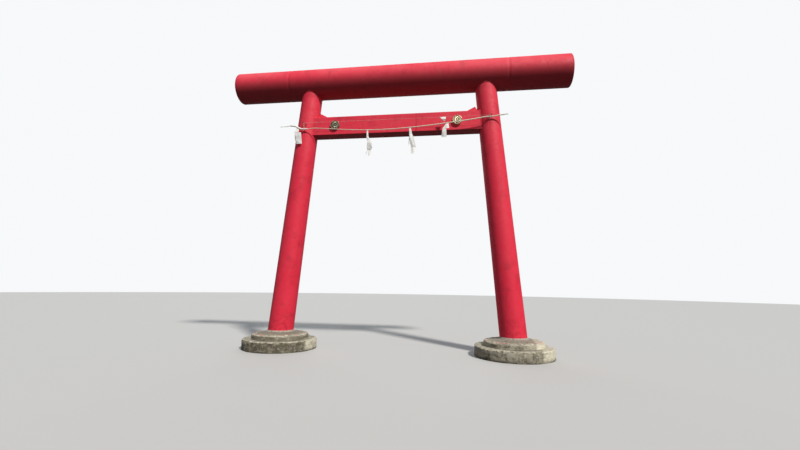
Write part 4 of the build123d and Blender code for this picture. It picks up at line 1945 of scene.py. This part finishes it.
    def wrap_start(self) -> Piece:
        """The last turns of the wrap, which run past the tie onto the rope.

        Returns:
            The turns.
        """
        centres = [point for point in self.line if point.x < -HOOK_OFFSET + 0.095]
        last, around = len(centres) - 1, 26
        radii = [0.021 - 0.006 * index / last for index in range(last + 1)]
        piece = tube("left_wrap_turns", centres, radii, around=around, squash=0.92)
        for index, vertex in enumerate(piece.data.vertices):
            centre = centres[min(index // around, last)]
            lap = ((vertex.co.x * 34 + (index % around) / around) % 1.0) * 0.14
            vertex.co = centre + (vertex.co - centre) * (1.0 - lap + 0.08 * noise.noise(vertex.co * 40))
        return piece

    def knot(self, side: Side, place: Vector, radius: float) -> Piece:
        """A tie of thin string: three crossed turns round the rope and hook, and two loose ends.

        Args:
            side: Which hook it hangs on.
            place: The rope's point under the hook.
            radius: The radius of what it ties.

        Returns:
            The tie's extra turns.
        """
        parts = []
        for index, (shift, tilt) in enumerate(((-0.007, 0.35), (0.0065, -0.30), (0.001, 0.75))):
            wide = radius + 0.0022 + 0.0008 * index
            loop = []
            for turn in circle(40):
                rise = wide * math.sin(turn)
                loop.append(place + Vector((shift + rise * tilt * 0.5, wide * math.cos(turn), rise)))
            parts.append(tube("turn", loop, ripple(40, 0.0019, 2.5, 0.12), around=7, closed=True))
        for sign, drop in ((-1, 0.070), (1, 0.052)):
            tail = []
            for part in (index / 10 for index in range(11)):
                forward = -radius - 0.003 - 0.002 * math.sin(3 * part)
                tail.append(place + Vector((sign * (0.003 + 0.011 * part), forward, -0.004 - drop * part)))
            parts.append(tube("tail", tail, ripple(11, 0.0016, 2.5, 0.12), around=7))
        return join(parts, f"{side.label}_rope_knot")

    def taut_string(self) -> Piece:
        """Two twisted yarns stretched between the hooks' tips.

        Returns:
            The string.
        """
        count = 900
        parts = []
        for yarn in range(2):
            centres = []
            for step in range(count):
                x = between(-self.string_reach, self.string_reach, step / (count - 1))
                turn = math.tau * (x / self.yarn_turn + yarn / 2)
                sag = self.string_sag * (1 - (x / self.string_reach) ** 2)
                centres.append(Vector((x, self.front + self.yarn_circle * math.cos(turn),
                                       self.string_height - sag + self.yarn_circle * math.sin(turn))))
            parts.append(tube("yarn", centres, [self.yarn_radius] * count, around=6))
        return join(parts, "taut_string_yarns")

    def build(self) -> None:
        """Lay the rope, its end, ties and the string above it."""
        self.line = self.follow("rope_line", self.route, 0.0075)
        self.wrapped_line = self.follow("wrapped_line", self.wrapped_route, 0.0035)
        strands = join(self.twisted(self.line, self.width_at), "straw_rope_strands")
        rope = mount(strands, Slot.STRAW, self.straw, "rope")
        strays = self.stray_straws("rope_stray_straws", self.line, 420, self.width_at, 11, 0.10)
        mount(strays, Slot.STRAW, self.straw)
        end = mount(self.wrapped_end(), Slot.PAPER, self.wrap, "rope_wrapped_end")
        turns = mount(self.wrap_start(), Slot.PAPER, self.wrap)
        end_strays = self.stray_straws("wrapped_end_straws", self.wrapped_line, 46, lambda _: 0.012, 5, 1.0)
        mount(end_strays, Slot.STRAW, self.straw)
        left = self.knot(Side.LEFT, self.wrapped_line[0], self.wrapped_diameter / 2)
        under_hook = min(self.line, key=lambda point: abs(point.x - HOOK_OFFSET))
        right = self.knot(Side.RIGHT, under_hook, self.diameter / 2)
        for tie in (left, right):
            mount(tie, Slot.STRING, self.string)
        mount(self.taut_string(), Slot.STRING, self.string, "taut_string")
        for side in Side:
            paint_node(f"{side.label}_rope_tie", self.string)


@dataclass(frozen=True)
class Panel:
    """One flat panel of a folded streamer, in millimetres from where it hangs."""

    top: Limits
    bottom: Limits
    drop: Limits
    depth: Limits
    ridge: float = 0.0


@dataclass
class PaperStreamer:
    """A zigzag paper streamer: creased panels that hang from the rope by a narrow neck."""

    node: str
    hang: Vector
    panels: tuple[Panel, ...]
    seed: float
    thickness: float = 0.0011
    wave: float = 11.0
    crumple: float = 3.0
    curl: float = 50.0

    def sheet(self, panel: Panel, loose: bool) -> Piece:
        """Cut one panel, and give it its ridge and, at a loose end, the curl of old paper.

        Args:
            panel: The panel's corners.
            loose: Whether no other panel is creased on below it.

        Returns:
            The panel as a thin sheet.
        """
        bpy.ops.mesh.primitive_grid_add(x_subdivisions=14, y_subdivisions=18, size=1.0, location=(0, 0, 0))
        piece = start("panel")
        for vertex in piece.data.vertices:
            across, down = vertex.co.x + 0.5, 0.5 - vertex.co.y
            left, right = (between(top, bottom, down) for top, bottom in zip(panel.top, panel.bottom))
            faded_in = min(1.0, down * 3, 1.0 if loose else (1 - down) * 3)
            ridge = panel.ridge * (1 - abs(across * 2 - 1)) * faded_in
            place = Vector((between(left, right, across), between(*panel.depth, down) - ridge,
                            -between(*panel.drop, down)))
            free = min(1.0, place.z / -180)
            wave = noise.noise(Vector((place.x * 0.016, place.z * 0.011, self.seed))) * self.wave * free
            crumple = noise.noise(Vector((place.x * 0.05, place.z * 0.04, self.seed + 4))) * self.crumple
            curl = self.curl * max(0.0, down - 0.80) ** 2 if loose else 0.0
            place.y += wave + crumple - curl
            vertex.co = self.hang + place / 1000
        return piece

    def neck(self, radius: float) -> Piece:
        """The twisted paper neck that loops over the rope.

        Args:
            radius: The rope's radius.

        Returns:
            The neck.
        """
        loop = []
        wide = radius + 0.0035
        for step in range(33):
            turn = math.radians(380 * step / 32 - 190)
            loop.append(self.hang + Vector((0.004 * math.sin(step * 0.4), wide * math.cos(turn),
                                            radius + wide * math.sin(turn))))
        return tube("neck", loop, ripple(33, 0.0042, 5.0, 0.25), around=8, squash=0.6)

    def build(self, finish: Material, rope_radius: float) -> None:
        """Fold the streamer and hang it.

        Args:
            finish: The paper.
            rope_radius: The radius of the rope that it hangs on.
        """
        creases = {panel.drop[0] for panel in self.panels}
        body = join([self.sheet(panel, panel.drop[1] not in creases) for panel in self.panels], "sheets")
        modify(body, "SOLIDIFY", thickness=self.thickness, offset=0.0)
        piece = join([body, self.neck(rope_radius)], f"{self.node}_folded")
        smooth(piece, 40)
        mount(piece, Slot.PAPER, finish, self.node)


STREAMER_SHAPES: dict[str, tuple[float, tuple[Panel, ...]]] = {
    "streamer_left_post": (-2.436, (
        Panel((-30, 40), (-92, 36), (0, 118), (0, -24), 5.0),
        Panel((-62, 98), (-13, 131), (118, 405), (-24, 10), 9.0),
        Panel((-64, -20), (-60, -8), (150, 325), (-20, 16), 2.0),
    )),
    "streamer_left_middle": (-0.651, (
        Panel((-16, 17), (-14, 32), (0, 158), (0, -8), 4.0),
        Panel((-14, 32), (6, 117), (158, 320), (-8, -22), 5.0),
        Panel((10, 117), (0, 132), (320, 435), (-22, -6), 5.0),
        Panel((0, 132), (10, 99), (435, 505), (-6, 14), 3.0),
        Panel((2, 29), (-44, -16), (505, 635), (14, -8), 2.0),
        Panel((35, 99), (33, 80), (505, 655), (14, 2), 4.0),
    )),
    "streamer_right_middle": (0.390, (
        Panel((-18, 20), (-14, 58), (0, 165), (0, -6), 4.0),
        Panel((-14, 58), (-2, 104), (165, 265), (-6, -18), 3.0),
        Panel((0, 96), (24, 151), (265, 490), (-18, 8), 9.0),
        Panel((24, 120), (26, 116), (490, 655), (8, -12), 6.0),
        Panel((-8, 5), (-38, -15), (160, 442), (-6, 14), 2.0),
    )),
    "streamer_right_crest": (1.283, (
        Panel((-22, 24), (-116, 42), (0, 135), (0, -30), 8.0),
        Panel((-116, -26), (-146, -22), (135, 343), (-30, 4), 5.0),
    )),
}

STRING_FLAP: tuple[float, tuple[Panel, ...]] = (1.180, (
    Panel((-72, 70), (-28, 62), (0, 60), (0, -20), 4.0),
    Panel((-28, 62), (8, 52), (60, 102), (-20, 4), 3.0),
))

# How far dirt and painted shadow cover the lower and the upper stone, and where along the gate their painted
# sunlit ends start.
STONE_WEAR_AND_LIGHT: dict[Side, tuple[Limits, Limits]] = {
    Side.LEFT: ((0.95, -1.93), (0.80, -1.90)),
    Side.RIGHT: ((0.20, 3.20), (0.16, 3.10)),
}

# Painted light and shade: the sunlit right crest gets more gold, the shaded left crest less.
CREST_GILDING_AND_LIGHT: dict[Side, float] = {Side.LEFT: 0.25, Side.RIGHT: 0.85}


@dataclass(frozen=True)
class Lamp:
    """A soft distant lamp: where it stands, seen from the gate, and its width in the sky in degrees."""

    name: str
    direction: Place
    strength: float
    spread: float
    colour: Colour

    def hang(self) -> None:
        """Put the lamp up."""
        lamp = bpy.data.lights.new(self.name, "SUN")
        lamp.energy = self.strength
        lamp.angle = math.radians(self.spread)
        lamp.color = self.colour
        show(self.name, lamp).rotation_euler = Vector(self.direction).to_track_quat("Z", "Y").to_euler()


@dataclass(frozen=True)
class Stage:
    """A plain pale floor, a white sky, a soft key from the front right, and the camera."""

    camera_place: Place = (1.4154, -9.0772, 1.5042)
    camera_forward: Place = (-0.13731, 0.978475, 0.154051)
    camera_up: Place = (0.006201, -0.154672, 0.987946)
    lens: float = 17.44
    key: Lamp = Lamp("key", (0.47, -0.55, 0.69), 3.6, 6, (1.0, 0.965, 0.91))
    back: Lamp = Lamp("back", (-0.25, 0.80, 0.50), 0.65, 50, (0.94, 0.97, 1.0))
    sky_strength: float = 0.33
    sky_fill: Colour = (0.86, 0.93, 1.0)
    sky_seen: Colour = (0.93, 0.945, 0.96)
    floor_fill: Colour = (0.12, 0.118, 0.112)
    floor_seen: Colour = (0.52, 0.52, 0.515)

    def floor(self) -> None:
        """Lay a wide pale floor that stays darker for light than for the camera."""
        bpy.ops.mesh.primitive_circle_add(vertices=96, radius=60, fill_type="NGON", location=(0, 0, -0.0005))
        ground = start("floor")
        graph = Graph("plain_floor")
        path = graph.add("LightPath")
        seen = graph.most(path.outputs["Is Camera Ray"], path.outputs["Is Transmission Ray"])
        colour = graph.blend(seen, self.floor_fill, self.floor_seen)
        ground.data.materials.append(graph.finish(colour, 0.9, specular=0.1))

    def sky(self) -> None:
        """Set a world that fills softly and shows white behind the gate."""
        world = bpy.data.worlds.new("soft_sky")
        world.use_nodes = True
        tree = world.node_tree
        fill = tree.nodes["Background"]
        fill.inputs["Color"].default_value = (*self.sky_fill, 1.0)
        fill.inputs["Strength"].default_value = self.sky_strength
        shown = tree.nodes.new("ShaderNodeBackground")
        shown.inputs["Color"].default_value = (*self.sky_seen, 1.0)
        path = tree.nodes.new("ShaderNodeLightPath")
        either = tree.nodes.new("ShaderNodeMath")
        either.operation = "MAXIMUM"
        mix = tree.nodes.new("ShaderNodeMixShader")
        for source, target in ((path.outputs["Is Camera Ray"], either.inputs[0]),
                               (path.outputs["Is Transmission Ray"], either.inputs[1]),
                               (either.outputs["Value"], mix.inputs["Fac"]),
                               (fill.outputs["Background"], mix.inputs[1]),
                               (shown.outputs["Background"], mix.inputs[2]),
                               (mix.outputs["Shader"], tree.nodes["World Output"].inputs["Surface"])):
            tree.links.new(source, target)
        bpy.context.scene.world = world

    def camera(self) -> None:
        """Stand the camera where the photograph was taken."""
        forward = Vector(self.camera_forward)
        right = forward.cross(Vector(self.camera_up)).normalized()
        matrix = Matrix((right, right.cross(forward).normalized(), -forward)).transposed().to_4x4()
        matrix.translation = self.camera_place
        lens = bpy.data.cameras.new("camera")
        lens.lens = self.lens
        lens.sensor_width = 36
        lens.sensor_fit = "HORIZONTAL"
        lens.clip_end = 300
        holder = show("camera", lens)
        holder.matrix_world = matrix
        bpy.context.scene.camera = holder

    def build(self) -> None:
        """Set the whole stage."""
        self.floor()
        self.sky()
        self.key.hang()
        self.back.hang()
        self.camera()
        bpy.context.scene.view_settings.view_transform = "Standard"


def dress_steel(paint: Material, rod: Material) -> None:
    """Paint the CAD nodes whose own shape is kept.

    Args:
        paint: The vermilion paint.
        rod: The hooks' rusted finish.
    """
    painted = ["nuki_joint_frame"]
    for side in Side:
        painted += [f"{side.label}_wedge", f"{side.label}_post_base_plate"]
        painted += [f"kasagi_{side.label}_{part}" for part in ("joint_sleeve", "end_plate")]
        paint_node(f"{side.label}_rope_hook", rod)
    for node in painted:
        paint_node(node, paint)


def hang_streamers(rope: StrawRope, paper: Material) -> None:
    """Hang every streamer on the rope, and the flap on the string.

    Args:
        rope: The rope, already laid.
        paper: The streamers' material.
    """
    for index, (node, (offset, panels)) in enumerate(STREAMER_SHAPES.items()):
        wrapped = offset < -HOOK_OFFSET
        radius = 0.022 if wrapped else 0.010
        point = min(rope.wrapped_line if wrapped else rope.line, key=lambda place: abs(place.x - offset))
        hang = Vector((offset, point.y, point.z - radius))
        PaperStreamer(node, hang, panels, 1.7 + index * 3.1).build(paper, radius)
    offset, panels = STRING_FLAP
    radius = rope.string_diameter / 2
    hang = Vector((offset, rope.front, rope.string_height - radius))
    PaperStreamer("string_flap", hang, panels, 5.3).build(paper, radius)


def main() -> None:
    """Build the stage and every piece in order."""
    logging.basicConfig(level=logging.INFO, format="%(name)s: %(message)s")
    Stage().build()
    paper = WhitePaper().material()
    straw = DryStraw().material()
    paint = VermilionPaint().material()
    rope = StrawRope(straw, RopeWrap().material(), PaleString().material())
    rope.build()
    hang_streamers(rope, paper)
    dress_steel(paint, RustedRod().material())
    RolledSteel(paint).build()
    WeldBeads(paint).build()
    stone = WeatheredStone()
    bases = BaseStones()
    mortar = CementMortar().material()
    for side in Side:
        low, high = STONE_WEAR_AND_LIGHT[side]
        bases.build(side, stone.material(f"{side.label}_lower_granite", bases.lower_height, *low),
                    stone.material(f"{side.label}_upper_granite", bases.shoulder_height, *high), mortar)
    for side in Side:
        Crest(side, PatinaBronze().material(f"{side.label}_crest_bronze", CREST_GILDING_AND_LIGHT[side])).build()


if __name__ == "__main__":
    main()
